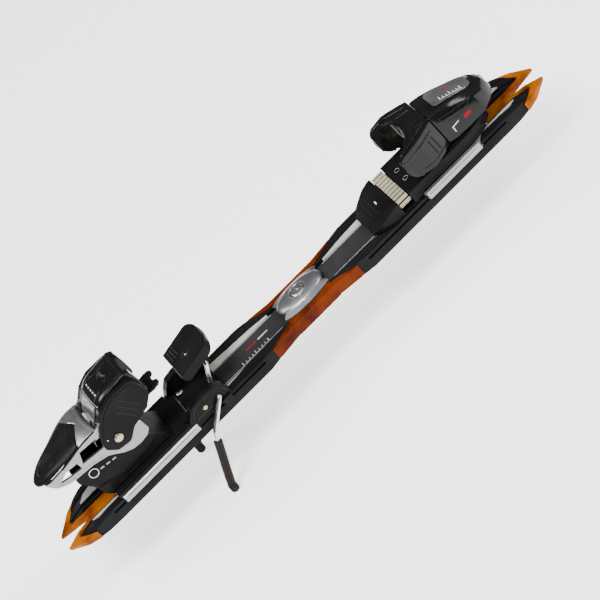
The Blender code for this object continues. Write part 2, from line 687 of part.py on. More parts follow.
def make_heel_inside(pivot):
    window = prism("heel_window", "xy", [(13, -11, 3), (36, -11, 3), (36, 11, 3), (13, 11, 3)], 20.2, 21.2)
    hang(pivot, window)
    finish(window, (0.1, 0.1, 0.13), 0.1)
    spring = coil("heel_spring", "x", (19.4, 0, 8.5), 5.2, 1.1, 15, 6)
    hang(pivot, spring)
    finish(spring, (0.35, 0.35, 0.37), 0.35, 1.0)
    profile = [(0, 28.5), (2.4, 28.5), (2.4, 9.6), (6.2, 9.6), (6.2, 5.5), (0, 4.5)]
    plunger = turned("heel_plunger", "x", (0, 0, 8.5), profile)
    hang(pivot, plunger)
    finish(plunger, (0.45, 0.45, 0.47), 0.3, 1.0)
    head = [(0, 49.5), (4.4, 49.5), (4.9, 48.9), (4.9, 36), (2.2, 36), (2.2, 33.4), (0, 33.4)]
    screw = turned("heel_setting_screw", "x", (0, 0, 9.5), head)
    slot = box("heel_screw_slot", (47.5, 55), (-0.7, 0.7), (6.0, 13.0))
    cut(screw, slot)
    hang(pivot, screw, slot)
    finish(screw, (0.6, 0.6, 0.62), 0.3, 1.0)


def make_heel_spur(pivot):
    """Tread under the cup that the boot's heel steps on, level while the heel is open."""
    level = [(30, -3.4, 1), (60.5, -1.4, 1), (60.5, 1.6), (42, 0.6), (30, -0.4)]
    turn = Matrix.Rotation(-HEEL_OPEN, 2)
    closed = [(*(turn @ Vector(point[:2])), *point[2:]) for point in level]
    spur = prism("heel_spur", "xz", closed, -14, 14)
    hang(pivot, spur)
    return finish(spur, (0.02, 0.02, 0.022), 0.35)


# ---------- heel lever ----------

def arc(centre, radius, start, end, steps):
    """Points on a circle between two angles in degrees."""
    angles = (math.radians(start + (end - start) * step / steps) for step in range(steps + 1))
    return [(centre[0] + radius * math.cos(angle), centre[1] + radius * math.sin(angle)) for angle in angles]


def make_lever_frame():
    """Fork with a side plate on each side of the pivot, joined across the back."""
    px, _, pz = HEEL_PIVOT
    lower = [(-285, 69, 1), (-278, 62, 3), (-272.7, 59.6, 3), (-266.6, 58, 3), (-239, 57.7, 10),
             (-224.5, 55, 5), (-219, 51, 4), (-212, 45, 4), (-204, 41, 5), (-195, 39.8, 5), (-186, 41.3, 3),
             (-181, 45.5, 2), (-181.6, 54.5, 1)]
    outline = lower + arc((px, pz), 22.8, -10, 115, 14) + [(-236, 83.0), (-240, 81.8), (-266, 74.0, 8)]
    frame = prism("lever_frame", "xz", outline, -LEVER_Y[1], LEVER_Y[1])
    outer = [(-170, LEVER_Y[1]), (-226, LEVER_Y[1], 30), (-262, 22, 30), (-278, 17, 8), (-286, 10, 4)]
    common(frame, prism("lever_plan", "xy", both_halves(outer), 0, 120))
    inner = [(-160, LEVER_Y[0]), (-226, LEVER_Y[0], 30), (-261, 19.2, 30), (-275, 14.6, 5), (-281, 8, 3)]
    cut(frame, prism("lever_inside", "xy", both_halves(inner), 0, 120))
    windows = ([(-271.5, 64.5, 1), (-249, 63.5, 1), (-249, 69.5, 1), (-262, 69.5, 1)],
               [(-243, 66.6, 1), (-221, 65.6, 1), (-217.5, 75.5, 1), (-238, 76, 1)])
    for window in windows:
        cut(frame, prism("lever_window", "xz", window, -40, 40))
    cut(frame, cylinder("lever_bore", "y", HEEL_PIVOT, AXLE_R + GAP, 80))
    return finish(frame, (0.42, 0.43, 0.45), 0.35, 0.9, HEEL_PIVOT)


PAD_STATIONS = ((-290.5, 3.0, 69.8, 70.9), (-289, 7, 69.5, 72.0), (-284, 13.0, 70.0, 74.2),
                (-277, 17.0, 71.8, 77.0), (-266, 20.5, 74.4, 79.2), (-254, 23.2, 78.2, 81.2),
                (-245, 25.0, 81.0, 83.4), (-237, 26.0, 83.3, 85.2))
PAD_NOSE = ((-236.6, 22.0, 83.6, 85.5), (-225.5, 2.0, 84.4, 86.3))


def make_lever_pad():
    def section(x, half, low, high):
        crown = high + 0.6
        return mirrored([(x, half, low), (x, half, low + (high - low) * 0.45), (x, half * 0.88, high),
                         (x, half * 0.4, crown)])

    pad = loft("lever_pad", [section(*station) for station in PAD_STATIONS + PAD_NOSE])
    bevel(pad, 0.6, 1, 40)
    return finish(pad, (0.02, 0.02, 0.02), 0.25, 0, HEEL_PIVOT)


def make_lever_shell():
    side = [(-236.5, 83.5), (-226, 83.6), (-214.5, 84.3), (-214.5, 86.2, 1), (-224, 88.0, 6), (-236.5, 86.6)]
    shell = prism("lever_shell", "xz", side, -LEVER_Y[1], LEVER_Y[1])
    bevel(shell, 0.8, 1, 40)
    cut(shell, prism("nose_room", "xy", [(-240, -23.5), (-236.2, -22.8), (-225, -2.4), (-225, 2.4), (-236.2, 22.8),
                                         (-240, 23.5)], 60, 100))
    front = arc((-196, 0), 21.5, 90, 270, 16)
    cut(shell, prism("shell_front", "xy", front, 60, 100))
    return finish(shell, (0.45, 0.46, 0.48), 0.3, 0.9, HEEL_PIVOT)


# ---------- brake ----------

def make_brake_base():
    """Floor plate and two side blocks that carry the arms, with a foot over each edge of the plate."""
    floor = box("brake_base", (-147.3, -107), (-28, 28), (14.4, 16.4))
    profile = [(-155.5, 17.4), (-150, 25, 3), (-143.6, 31.4, 4), (-133, 33.4, 6), (-114.5, 33, 5),
               (-107.5, 27, 4), (-105, 14.4), (-147.3, 14.4), (-147.3, 17.4)]
    for _, span in both_sides(*BLOCK_Y):
        block = prism("brake_block", "xz", profile, *span)
        bevel(block, 1.0, 1, 40)
        join(floor, block)
        sign = 1 if span[0] > 0 else -1
        join(floor, prism("brake_foot", "xz", [(-118.6, 15.2), (-117.5, 6, 2), (-109, 6, 2), (-107, 15.2)],
                          *sorted((sign * 34.5, sign * 37))))
        join(floor, box("foot_bridge", (-118.4, -107.5), sorted((sign * 30, sign * 37)), (14.5, 15.7)))
        cut(floor, cylinder("screw_room", "z", (-142.0, sign * 20, 15), 2.4, 10, 12))
        rivet_x, rivet_z = BRAKE_RIVET
        cut(floor, cylinder("rivet_room", "y", (rivet_x, sign * 34, rivet_z), 1.5, 8, 12))
    cut(floor, cylinder("arm_bore", "y", BRAKE_AXIS, WIRE_R + GAP, 90))
    return finish(floor, (0.02, 0.02, 0.022), 0.35)


BRAKE_RIVET = (-132.8, 22.6)


def make_brake_fasteners():
    for side_name, sign in (("left", 1), ("right", -1)):
        profile = [(0, 19.0), (3.4, 18.9), (4.3, 18.2), (4.3, 16.7), (2.1, 16.7), (2.1, 14.6), (0, 14.6)]
        screw = turned(f"brake_screw_{side_name}", "z", (-142.0, sign * 20, 0), profile, 12)
        finish(screw, (0.6, 0.6, 0.62), 0.3, 1.0)
        length = [(0, 35.6), (1.8, 35.4), (2.5, 34.8), (2.5, 34.3), (1.2, 34.3), (1.2, 30.8), (0, 30.8)]
        rivet = turned(f"brake_rivet_{side_name}", "y", (BRAKE_RIVET[0], 0, BRAKE_RIVET[1]), length, 12)
        if sign < 0:
            rivet.rotation_euler.rotate_axis("X", math.pi)
        finish(rivet, (0.6, 0.5, 0.25), 0.35, 1.0)


ARM_ROUTE = ((PEDAL_AXIS[0], 8.8, PEDAL_AXIS[2]), (PEDAL_AXIS[0], 15.5, PEDAL_AXIS[2]),
             (PEDAL_AXIS[0] - 0.3, 17.3, PEDAL_AXIS[2] - 0.8), (PEDAL_AXIS[0] - 1.2, 18, PEDAL_AXIS[2] - 3),
             (-115.2, 18, 24.6), (-116.6, 18.6, 22.2), (-117, 20.2, 21.5), (-117, 33.4, 21.5),
             (-117.3, 35.4, 21.1), (-119.2, 36.6, 19.6), (-139, 39.6, 3.0), (-143.6, 40.2, -2.6),
             (-147.5, 40.6, -10), (-157.5, 41.6, -32))


def make_brake_arms():
    """Bent wires: an inner leg up to the pedal, an axle through the side block, and an outer arm."""
    for side_name, sign in (("left", 1), ("right", -1)):
        arm = wire(f"brake_arm_{side_name}", [(x, sign * y, z) for x, y, z in ARM_ROUTE], WIRE_R)
        finish(arm, (0.6, 0.6, 0.62), 0.3, 1.0, BRAKE_AXIS)
        outline = [(-149, -9.5, 3), (-144.4, -11, 3), (-152, -34, 20), (-162.5, -55, 3), (-165.5, -60.5, 2),
                   (-171.5, -60, 2), (-172, -55, 2), (-168.5, -52, 2), (-160, -36, 20)]
        middle = sign * 41.2
        tip = prism(f"brake_tip_{side_name}", "xz", outline, middle - 4.4, middle + 4.4)
        bevel(tip, 1.2, 1, 40)
        bore = [(x, sign * y, z) for x, y, z in ((-145.8, 40.37, -6), *ARM_ROUTE[-2:], (-157.9, 41.65, -33))]
        cut(tip, wire("tip_bore", bore, WIRE_R + GAP))
        finish(tip, (0.03, 0.022, 0.02), 0.45, 0, BRAKE_AXIS)
        x, _, z = BRAKE_AXIS
        spring = coil(f"brake_spring_{side_name}", "y", (x, sign * 22.7, z), 3.6, 0.55, 3.0, 3)
        finish(spring, (0.5, 0.5, 0.52), 0.3, 1.0)


def make_brake_pedal():
    top_rear = Vector((-128.8, 55.9))
    slope = Vector((35.2, 7.9)).normalized()
    down = Vector((slope.y, -slope.x))

    def at(along, depth):
        return tuple(top_rear + slope * along + down * depth)

    profile = [(*at(0, 0), 1.5), at(30, 0), (*at(40.5, 0.6), 3), (*at(43.5, 5), 3), (*at(38, 9.5), 4),
               at(20, 9.5), (*at(2, 9.0), 4), (*at(-0.6, 4), 2)]
    pedal = prism("brake_pedal", "xz", profile, -PEDAL_HALF, PEDAL_HALF)
    plan_half = [(-130.5, PEDAL_HALF, 3), (-94, PEDAL_HALF, 6), (-88.5, 15, 10), (-85.5, 0, 20)]
    plan = plan_half + [(x, -y, *rest) for x, y, *rest in reversed(plan_half[:-1])]
    common(pedal, prism("pedal_plan", "xy", plan, 0, 100))
    x, _, z = PEDAL_AXIS
    for _, span in both_sides(9.0, 14.8):
        lobe = [(x - 9, 56.0), (x - 5.4, z - 2, 4), (x - 3.5, z - 5.4, 3), (x + 3.5, z - 5.4, 3), (x + 5.4, z - 2, 4),
                (x + 8, 57.0)]
        join(pedal, prism("pedal_lobe", "xz", lobe, *span))
    cut(pedal, cylinder("pedal_bore", "y", PEDAL_AXIS, WIRE_R + GAP, 34))
    return finish(pedal, (0.02, 0.02, 0.022), 0.3, 0, PEDAL_AXIS)


# ---------- assembly ----------

def build():
    make_rail_plate()
    make_plate_screws()
    make_connecting_band()
    make_inlays()
    make_center_damper()
    make_tip_damper("front_damper", 1)
    make_tip_damper("rear_damper", -1)
    make_center_cap()
    make_center_screw()
    make_tracks()
    make_toe_pedestal()
    make_afd_belt()
    make_toe_post()
    make_toe_jaw()
    make_toe_housing()
    make_toe_window()
    make_toe_inside()
    make_heel_bracket()
    make_heel_axle()
    pivot = heel_head_frame()
    make_heel_cup(pivot)
    make_cheeks(pivot)
    make_heel_inside(pivot)
    make_heel_spur(pivot)
    make_lever_frame()
    make_lever_pad()
    make_lever_shell()
    make_brake_base()
    make_brake_fasteners()
    make_brake_arms()
    make_brake_pedal()


build()
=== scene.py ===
"""Looks of the downhill binding: refined shapes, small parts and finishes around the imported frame."""
import json
import math

import bmesh
import bpy
from mathutils import Matrix, Vector

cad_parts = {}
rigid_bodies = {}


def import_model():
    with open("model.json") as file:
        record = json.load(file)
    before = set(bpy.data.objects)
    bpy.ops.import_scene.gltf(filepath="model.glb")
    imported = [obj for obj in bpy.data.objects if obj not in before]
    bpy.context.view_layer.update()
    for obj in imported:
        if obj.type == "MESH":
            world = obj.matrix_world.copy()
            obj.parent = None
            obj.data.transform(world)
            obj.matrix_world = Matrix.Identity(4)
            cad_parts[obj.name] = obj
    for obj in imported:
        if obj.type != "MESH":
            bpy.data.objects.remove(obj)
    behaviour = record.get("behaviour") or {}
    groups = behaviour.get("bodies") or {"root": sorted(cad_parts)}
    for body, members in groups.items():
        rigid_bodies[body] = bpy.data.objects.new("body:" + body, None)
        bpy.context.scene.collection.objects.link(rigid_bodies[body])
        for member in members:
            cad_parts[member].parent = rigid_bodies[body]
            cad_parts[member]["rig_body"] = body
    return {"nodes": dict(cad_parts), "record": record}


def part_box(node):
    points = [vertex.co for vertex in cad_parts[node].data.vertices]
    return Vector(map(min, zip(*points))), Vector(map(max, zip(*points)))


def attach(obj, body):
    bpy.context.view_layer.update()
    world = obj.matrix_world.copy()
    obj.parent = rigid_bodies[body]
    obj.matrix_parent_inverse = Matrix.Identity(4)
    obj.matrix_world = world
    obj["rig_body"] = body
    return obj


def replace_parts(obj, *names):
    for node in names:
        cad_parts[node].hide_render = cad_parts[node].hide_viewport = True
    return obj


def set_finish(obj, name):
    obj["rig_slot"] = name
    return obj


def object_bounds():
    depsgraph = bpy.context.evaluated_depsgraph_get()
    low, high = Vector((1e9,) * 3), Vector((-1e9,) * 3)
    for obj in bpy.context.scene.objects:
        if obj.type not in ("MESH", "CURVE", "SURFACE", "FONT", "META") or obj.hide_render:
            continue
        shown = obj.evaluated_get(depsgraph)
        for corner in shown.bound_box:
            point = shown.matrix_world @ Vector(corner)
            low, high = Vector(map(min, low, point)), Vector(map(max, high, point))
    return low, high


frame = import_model()
CAD_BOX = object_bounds()
MM = 0.001    # lengths below are in mm, the scene is in metres

NODE_BODY = {node: body for body, nodes in frame["record"]["behaviour"]["bodies"].items() for node in nodes}
NODE_SLOT = {part["node"]: part["material_slot"] for part in frame["record"]["subparts"]}
HEEL_PIVOT = Vector((-0.2055, 0.0, 0.063))    # in metres
CUP_HALF = 23.5        # half the heel cup's width
LEVER_INSIDE = 24.1    # half the room between the lever's side plates
HEEL_TURN = Matrix.Translation(HEEL_PIVOT) @ Matrix.Rotation(math.radians(-42.0), 4, "Y")


# ---------- materials ----------

class Finish:
    """A node tree under construction, with short calls for what every finish here needs."""

    def __init__(self, name, roughness, metallic=0.0):
        self.made = bpy.data.materials.new(name)
        self.made.use_nodes = True
        self.tree = self.made.node_tree
        self.shader = self.tree.nodes["Principled BSDF"]
        self.shader.inputs["Roughness"].default_value = roughness
        self.shader.inputs["Metallic"].default_value = metallic
        self.coords = self.tree.nodes.new("ShaderNodeTexCoord").outputs["Object"]

    def set(self, socket, value):
        self.shader.inputs[socket].default_value = value
        return self

    def link(self, source, target):
        self.tree.links.new(source, target)

    def stretched(self, scale):
        mapping = self.tree.nodes.new("ShaderNodeMapping")
        mapping.inputs["Scale"].default_value = scale
        self.link(self.coords, mapping.inputs["Vector"])
        return mapping.outputs["Vector"]

    def noise(self, scale, detail=4.0, rough=0.55, vector=None):
        node = self.tree.nodes.new("ShaderNodeTexNoise")
        node.inputs["Scale"].default_value = scale
        node.inputs["Detail"].default_value = detail
        node.inputs["Roughness"].default_value = rough
        self.link(vector or self.coords, node.inputs["Vector"])
        return node.outputs["Fac"]

    def cells(self, scale):
        node = self.tree.nodes.new("ShaderNodeTexVoronoi")
        node.inputs["Scale"].default_value = scale
        self.link(self.coords, node.inputs["Vector"])
        return node.outputs["Distance"]

    def colour(self, source, *stops):
        """Base colour that runs from one (place, colour) stop to the other."""
        node = self.tree.nodes.new("ShaderNodeValToRGB")
        for element, (place, colour) in zip(node.color_ramp.elements, stops):
            element.position = place
            element.color = (*colour, 1.0)
        self.link(source, node.inputs["Fac"])
        self.link(node.outputs["Color"], self.shader.inputs["Base Color"])

    def rough(self, source, low, high, start=0.35, end=0.65):
        node = self.tree.nodes.new("ShaderNodeMapRange")
        for socket, value in (("From Min", start), ("From Max", end), ("To Min", low), ("To Max", high)):
            node.inputs[socket].default_value = value
        self.link(source, node.inputs["Value"])
        self.link(node.outputs["Result"], self.shader.inputs["Roughness"])

    def bump(self, source, strength, distance):
        node = self.tree.nodes.new("ShaderNodeBump")
        node.inputs["Strength"].default_value = strength
        node.inputs["Distance"].default_value = distance
        self.link(source, node.inputs["Height"])
        self.link(node.outputs["Normal"], self.shader.inputs["Normal"])


def moulded(name, dark, light, roughness, grain=0.25):
    """Moulded plastic: fine spark-eroded grain with faint cloudy variation."""
    finish = Finish(name, roughness)
    finish.colour(finish.noise(35), (0.35, dark), (0.7, light))
    finish.set("Specular IOR Level", 0.07)
    finish.rough(finish.noise(60), roughness - 0.06, roughness + 0.08)
    finish.bump(finish.noise(2600, 2.0), grain, 0.00012)
    return finish


def glossy(name, dark, light, roughness):
    """Glossy moulded shell: clear reflections with faint flow waves and hairline scratches."""
    finish = Finish(name, roughness)
    finish.colour(finish.noise(25), (0.3, dark), (0.75, light))
    hair = finish.noise(900, 3.0, 0.6, finish.stretched((0.15, 1.0, 1.0)))
    finish.rough(hair, roughness * 0.7, roughness * 1.7)
    finish.bump(finish.noise(70, 1.0), 0.03, 0.0003)
    finish.set("Specular IOR Level", 0.18).set("Coat Weight", 0.05).set("Coat Roughness", 0.05)
    return finish


def painted_silver(name, dark, light, roughness):
    """Silver lacquer with fine metal flakes."""
    finish = Finish(name, roughness, 0.85)
    finish.colour(finish.cells(3200), (0.1, dark), (0.75, light))
    finish.rough(finish.noise(90), roughness - 0.05, roughness + 0.08)
    finish.bump(finish.cells(2400), 0.06, 0.00008)
    finish.set("Coat Weight", 0.25).set("Coat Roughness", 0.15)
    return finish


def steel(name, dark, light, roughness, stretch=(0.1, 1.0, 1.0)):
    """Plated steel with fine drawn lines."""
    finish = Finish(name, roughness, 1.0)
    lines = finish.noise(1500, 3.0, 0.6, finish.stretched(stretch))
    finish.colour(finish.noise(220), (0.3, dark), (0.7, light))
    finish.rough(lines, roughness - 0.08, roughness + 0.12)
    finish.bump(lines, 0.12, 0.00008)
    return finish


def amber(name, deep, bright, low, high):
    """Elastomer with clouds of deeper orange and a slight glow from inside."""
    finish = Finish(name, 0.25)
    finish.colour(finish.noise(38, 2.0), (low, deep), (high, bright))
    finish.rough(finish.noise(150), 0.2, 0.36)
    finish.bump(finish.noise(1800, 2.0), 0.12, 0.0001)
    finish.set("Subsurface Weight", 0.03).set("Subsurface Scale", 0.003)
    finish.set("Subsurface Radius", (1.0, 0.3, 0.03)).set("Specular IOR Level", 0.06)
    return finish


def smoky(name):
    """Smoked clear plastic."""
    finish = glossy(name, (0.07, 0.068, 0.073), (0.15, 0.145, 0.155), 0.1)
    finish.set("Transmission Weight", 0.35).set("IOR", 1.5)
    return finish


FINISHES = {slot: finish.made for slot, finish in {
    "rail_plate": moulded("charcoal_plate", (0.005, 0.005, 0.0054), (0.009, 0.0092, 0.01), 0.45),
    "band": moulded("band_grey", (0.018, 0.018, 0.019), (0.028, 0.028, 0.03), 0.4, 0.15),
    "inlay": moulded("inlay_grey", (0.42, 0.4, 0.37), (0.52, 0.5, 0.46), 0.45, 0.2),
    "amber_damper": amber("amber_tips", (0.13, 0.022, 0.0), (0.36, 0.1, 0.0), 0.34, 0.64),
    # painted shade: the centre damper gets a darker copy of the tips' amber so that it looks shaded
    "amber_painted_shade": amber("amber_middle_painted_shade", (0.045, 0.004, 0.0), (0.14, 0.02, 0.0), 0.34, 0.64),
    "satin_silver": painted_silver("silver_lacquer", (0.16, 0.163, 0.17), (0.28, 0.284, 0.295), 0.32),
    "track": painted_silver("slider_silver", (0.24, 0.24, 0.24), (0.36, 0.36, 0.36), 0.42),
    "gloss_black": glossy("gloss_black", (0.004, 0.0035, 0.0035), (0.009, 0.008, 0.008), 0.12),
    "satin_black": moulded("satin_black", (0.0045, 0.004, 0.004), (0.009, 0.008, 0.008), 0.36),
    "smoky_window": smoky("smoky_window"),
    "scale_white": moulded("mark_white", (0.7, 0.7, 0.7), (0.82, 0.82, 0.82), 0.45, 0.1),
    "mark_red": moulded("mark_red", (0.22, 0.004, 0.006), (0.32, 0.01, 0.012), 0.4, 0.1),
    "belt": moulded("belt_beige", (0.34, 0.32, 0.2), (0.46, 0.43, 0.3), 0.5, 0.4),
    "screw_steel": steel("screw_steel", (0.5, 0.5, 0.52), (0.75, 0.75, 0.77), 0.25),
    "spring_steel": steel("wire_zinc", (0.5, 0.5, 0.52), (0.72, 0.72, 0.74), 0.24, (1.0, 1.0, 0.15)),
    "dark_steel": steel("dark_steel", (0.07, 0.07, 0.072), (0.12, 0.12, 0.125), 0.34),
    "yellow_zinc": steel("yellow_zinc", (0.27, 0.24, 0.14), (0.42, 0.39, 0.26), 0.3, (1.0, 1.0, 1.0)),
    "pad_rubber": moulded("pad_black", (0.006, 0.0055, 0.005), (0.011, 0.01, 0.0095), 0.3, 0.1),
    "arm_tip": moulded("tip_brown_black", (0.012, 0.009, 0.008), (0.02, 0.015, 0.013), 0.42),
}.items()}


def dress(piece, finish_name):
    piece.data.materials.clear()
    piece.data.materials.append(FINISHES[finish_name])


# ---------- shape helpers ----------

def smooth(piece, angle=32.0):
    piece.data.shade_smooth()
    piece.data.set_sharp_from_angle(angle=math.radians(angle))


def new_piece(name, mesh, body, slot, finish_name=None):
    piece = bpy.data.objects.new(name, mesh)
    bpy.context.scene.collection.objects.link(piece)
    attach(piece, body)
    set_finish(piece, slot)
    dress(piece, finish_name or slot)
    return piece


def evaluated_mesh(piece):
    graph = bpy.context.evaluated_depsgraph_get()
    return bpy.data.meshes.new_from_object(piece.evaluated_get(graph))


def bridge(bm, rings):
    """Quads between rings of equal length, closed around."""
    for near, far in zip(rings, rings[1:]):
        for index in range(len(near)):
            after = (index + 1) % len(near)
            bm.faces.new((near[index], near[after], far[after], far[index]))


def fill_grid(bm, grid):
    """Quads between the lines of a grid of vertices, with a hole wherever one of them is None."""
    for line, following in zip(grid, grid[1:]):
        for index in range(len(line) - 1):
            corners = (line[index], line[index + 1], following[index + 1], following[index])
            if None not in corners:
                bm.faces.new(corners)


def mesh_of(bm, name, away=None):
    """The finished mesh, with its faces turned outward, or toward one direction if it is an open sheet."""
    if away is None:
        bmesh.ops.recalc_face_normals(bm, faces=bm.faces)
    else:
        for face in bm.faces:
            face.normal_update()
            if face.normal.dot(away) < 0:
                face.normal_flip()
    mesh = bpy.data.meshes.new(name)
    bm.to_mesh(mesh)
    bm.free()
    return mesh


def round_edges(piece, width, segments=3, angle=30.0):
    """Round every edge that is sharper than an angle in degrees."""
    edge = piece.modifiers.new("edge", "BEVEL")
    edge.width = width * MM
    edge.segments = segments
    edge.limit_method = "ANGLE"
    edge.angle_limit = math.radians(angle)
    return edge


def thicken(piece, thickness, offset=1.0):
    """Give an open sheet a thickness: outward for offset 1, inward for -1, both ways for 0."""
    modifier = piece.modifiers.new("thickness", "SOLIDIFY")
    modifier.thickness = thickness * MM
    modifier.offset = offset


def refined(node, edge_radius, finish_name):
    """The CAD node's shape with flat faces merged and its edges rounded, as the piece that is shown."""
    mesh = frame["nodes"][node].data.copy()
    bm = bmesh.new()
    bm.from_mesh(mesh)
    bmesh.ops.remove_doubles(bm, verts=bm.verts, dist=0.00001)
    bmesh.ops.dissolve_limit(bm, angle_limit=math.radians(1.0), verts=bm.verts, edges=bm.edges)
    bm.to_mesh(mesh)
    bm.free()
    piece = new_piece(node + "_shown", mesh, NODE_BODY[node], NODE_SLOT[node], finish_name)
    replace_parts(piece, node)
    round_edges(piece, edge_radius, angle=28.0).harden_normals = True
    smooth(piece)


# node: (edge radius, finish where it differs from the record's slot)
REFINED = {
    # the centre damper takes the darker amber, which is painted shade
    "rail_plate": (0.5, None), "connecting_band": (0.3, None), "center_damper": (0.8, "amber_painted_shade"),
    "front_damper": (0.7, None), "rear_damper": (0.7, None),
    "toe_track": (0.4, None), "heel_track": (0.4, None), "toe_pedestal": (0.8, "satin_black"),
    "toe_jaw": (1.4, None), "toe_housing": (1.0, None), "toe_window": (0.4, None),
    "heel_bracket": (1.0, None), "heel_cup": (1.0, None), "heel_cheek_left": (0.8, None),
    "heel_cheek_right": (0.8, None), "lever_frame": (0.5, None), "brake_base": (0.6, None),
    "brake_pedal": (1.2, None), "center_screw": (0.25, None), "heel_axle": (0.3, None),
    "brake_screw_left": (0.25, None), "brake_screw_right": (0.25, None),
}


def refine_nodes():
    """Show the visible nodes with rounded edges, and finish the small and hidden ones as they are."""
    for node, (edge_radius, finish_name) in REFINED.items():
        refined(node, edge_radius, finish_name)
    for node, obj in frame["nodes"].items():
        if node not in REFINED:
            dress(obj, "dark_steel" if node == "heel_setting_screw" else NODE_SLOT[node])


refine_nodes()


# ---------- marks that follow a surface ----------

def on_surface(piece, start, direction):
    """Where a ray first meets a piece that is shown, or None."""
    graph = bpy.context.evaluated_depsgraph_get()
    hit, place, _, _ = piece.evaluated_get(graph).ray_cast(start, direction)
    return place if hit else None


def strip_pairs(path, width, closed, step=0.8):
    """Left and right edge points of a strip along a flat path, one pair for each step."""
    points = [Vector(point) for point in path]
    if closed:
        points.append(points[0])
    dense = []
    for first, second in zip(points, points[1:]):
        count = max(1, int((second - first).length / step))
        dense += [first.lerp(second, index / count) for index in range(count)]
    dense.append(points[-1])
    pairs = []
    for index, here in enumerate(dense):
        before = dense[index - 1] if index else (dense[-2] if closed else here)
        after = dense[index + 1] if index + 1 < len(dense) else (dense[1] if closed else here)
        along = (after - before).normalized()
        across = Vector((-along.y, along.x)) * width / 2
        pairs.append((here + across, here - across))
    return pairs


class Facing:
    """A flat drawing plane in front of a surface: origin, two axes in mm and the way to the surface."""

    def __init__(self, origin, first, second, toward):
        self.origin, self.first = Vector(origin) * MM, Vector(first)
        self.second, self.toward = Vector(second), Vector(toward)

    def at(self, point):
        return self.origin + (self.first * point[0] + self.second * point[1]) * MM


FROM_ABOVE = Facing((0, 0, 150), (1, 0, 0), (0, 1, 0), (0, 0, -1))
NEAR_SIDE = Facing((0, -90, 0), (1, 0, 0), (0, 0, 1), (0, 1, 0))
FAR_SIDE = Facing((0, 90, 0), (1, 0, 0), (0, 0, 1), (0, -1, 0))
# name, plane in front of it and the sign of Y there
SIDES = (("near", NEAR_SIDE, -1), ("far", FAR_SIDE, 1))
# name and the sign of Y there
LEFT_RIGHT = (("left", 1), ("right", -1))
MARK_CLEARANCE = 0.03      # between a mark and the surface under it
MARK_LONGEST_STEP = 4.0    # a mark breaks where the surface under it jumps further than this


def mark(name, target, facing, path, width, finish_name, closed=False, height=0.25):
    """A thin raised line laid on a piece, such as a printed mark, a bead or an inlaid wire."""
    bm = bmesh.new()
    rows = []
    for pair in strip_pairs(path, width, closed):
        places = [on_surface(target, facing.at(point), facing.toward) for point in pair]
        if None not in places:
            rows.append([bm.verts.new(place - facing.toward * MARK_CLEARANCE * MM) for place in places])
    for (left, right), (next_left, next_right) in zip(rows, rows[1:]):
        if (left.co - next_left.co).length < MARK_LONGEST_STEP * MM:
            bm.faces.new((left, right, next_right, next_left))
    mesh = mesh_of(bm, name, -facing.toward)
    piece = new_piece(name, mesh, target["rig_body"], target["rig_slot"], finish_name)
    thicken(piece, height)
    smooth(piece)


def ring_path(centre, radius, steps=28, stretch=1.0):
    """Points of a circle, or of an oval that is stretched along its first axis."""
    return [(centre[0] + radius * stretch * math.cos(2 * math.pi * step / steps),
             centre[1] + radius * math.sin(2 * math.pi * step / steps)) for step in range(steps)]


def shown(node):
    """The piece that stands for a CAD node."""
    return bpy.data.objects.get(node + "_shown") or frame["nodes"][node]


def top_mark(name, node, path, width, finish_name, closed=False, height=0.25):
    """A mark on top of the piece that stands for a node."""
    mark(name, shown(node), FROM_ABOVE, path, width, finish_name, closed, height)


def side_marks(name, node, path, width, finish_name, closed=False, height=0.25):
    """The same mark on the near and on the far side of the piece that stands for a node."""
    for side, facing, _ in SIDES:
        mark(f"{name}_{side}", shown(node), facing, path, width, finish_name, closed, height)


# ---------- belt ----------

BELT_CORNER = 5.0
RIBS, STEPS_PER_RIB, CORE_STEPS = 22, 10, 96
RIB_SHARE = 0.65       # of each pitch, the rest is groove
GROOVE_DEPTH = 1.9
BELT_THICKNESS = 1.5
BELT_CHAMFER = 0.35
CORE_INSET, CORE_TOP, CORE_UNDERSIDE = 0.15, 0.95, 1.45


def loop_point(half, low, high, distance):
    """Point and outward direction at a distance along the belt's path, a rounded rectangle in YZ."""
    flat, tall = 2 * (half - BELT_CORNER), high - low - 2 * BELT_CORNER
    left, right, bottom, top = BELT_CORNER - half, half - BELT_CORNER, low + BELT_CORNER, high - BELT_CORNER
    # corner centre, angle of the outward direction, length of the straight after it and the way along it
    straights = (((left, top), 90, flat, (1, 0)), ((right, top), 0, tall, (0, -1)),
                 ((right, bottom), -90, flat, (-1, 0)), ((left, bottom), -180, tall, (0, 1)))
    for index, (centre, angle, length, along) in enumerate(straights):
        turned = math.radians(angle)
        if distance > length:
            distance -= length
            if distance > math.pi * BELT_CORNER / 2:
                distance -= math.pi * BELT_CORNER / 2
                continue
            turned -= distance / BELT_CORNER
            centre, distance = straights[(index + 1) % 4][0], 0.0
        normal = (math.cos(turned), math.sin(turned))
        return (centre[0] + normal[0] * BELT_CORNER + along[0] * distance,
                centre[1] + normal[1] * BELT_CORNER + along[1] * distance), normal


def belt_loop(name, steps, section, finish_name):
    """An endless loop on the belt's path. section(step, front, back) gives X and depth of its corners."""
    low_corner, high_corner = (Vector(corner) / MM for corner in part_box("afd_belt"))
    half, low, high = high_corner.y, low_corner.z, high_corner.z
    around = 4 * half + 2 * (high - low) - 8 * BELT_CORNER + 2 * math.pi * BELT_CORNER
    bm = bmesh.new()
    rings = []
    for step in range(steps):
        (y, z), normal = loop_point(half, low, high, around * step / steps)
        rings.append([bm.verts.new(Vector((x, y - normal[0] * depth, z - normal[1] * depth)) * MM)
                      for x, depth in section(step, low_corner.x, high_corner.x)])
    bridge(bm, rings + rings[:1])
    loop = new_piece(name, mesh_of(bm, name), "sole_belt", finish_name)
    smooth(loop, 25)
    return loop


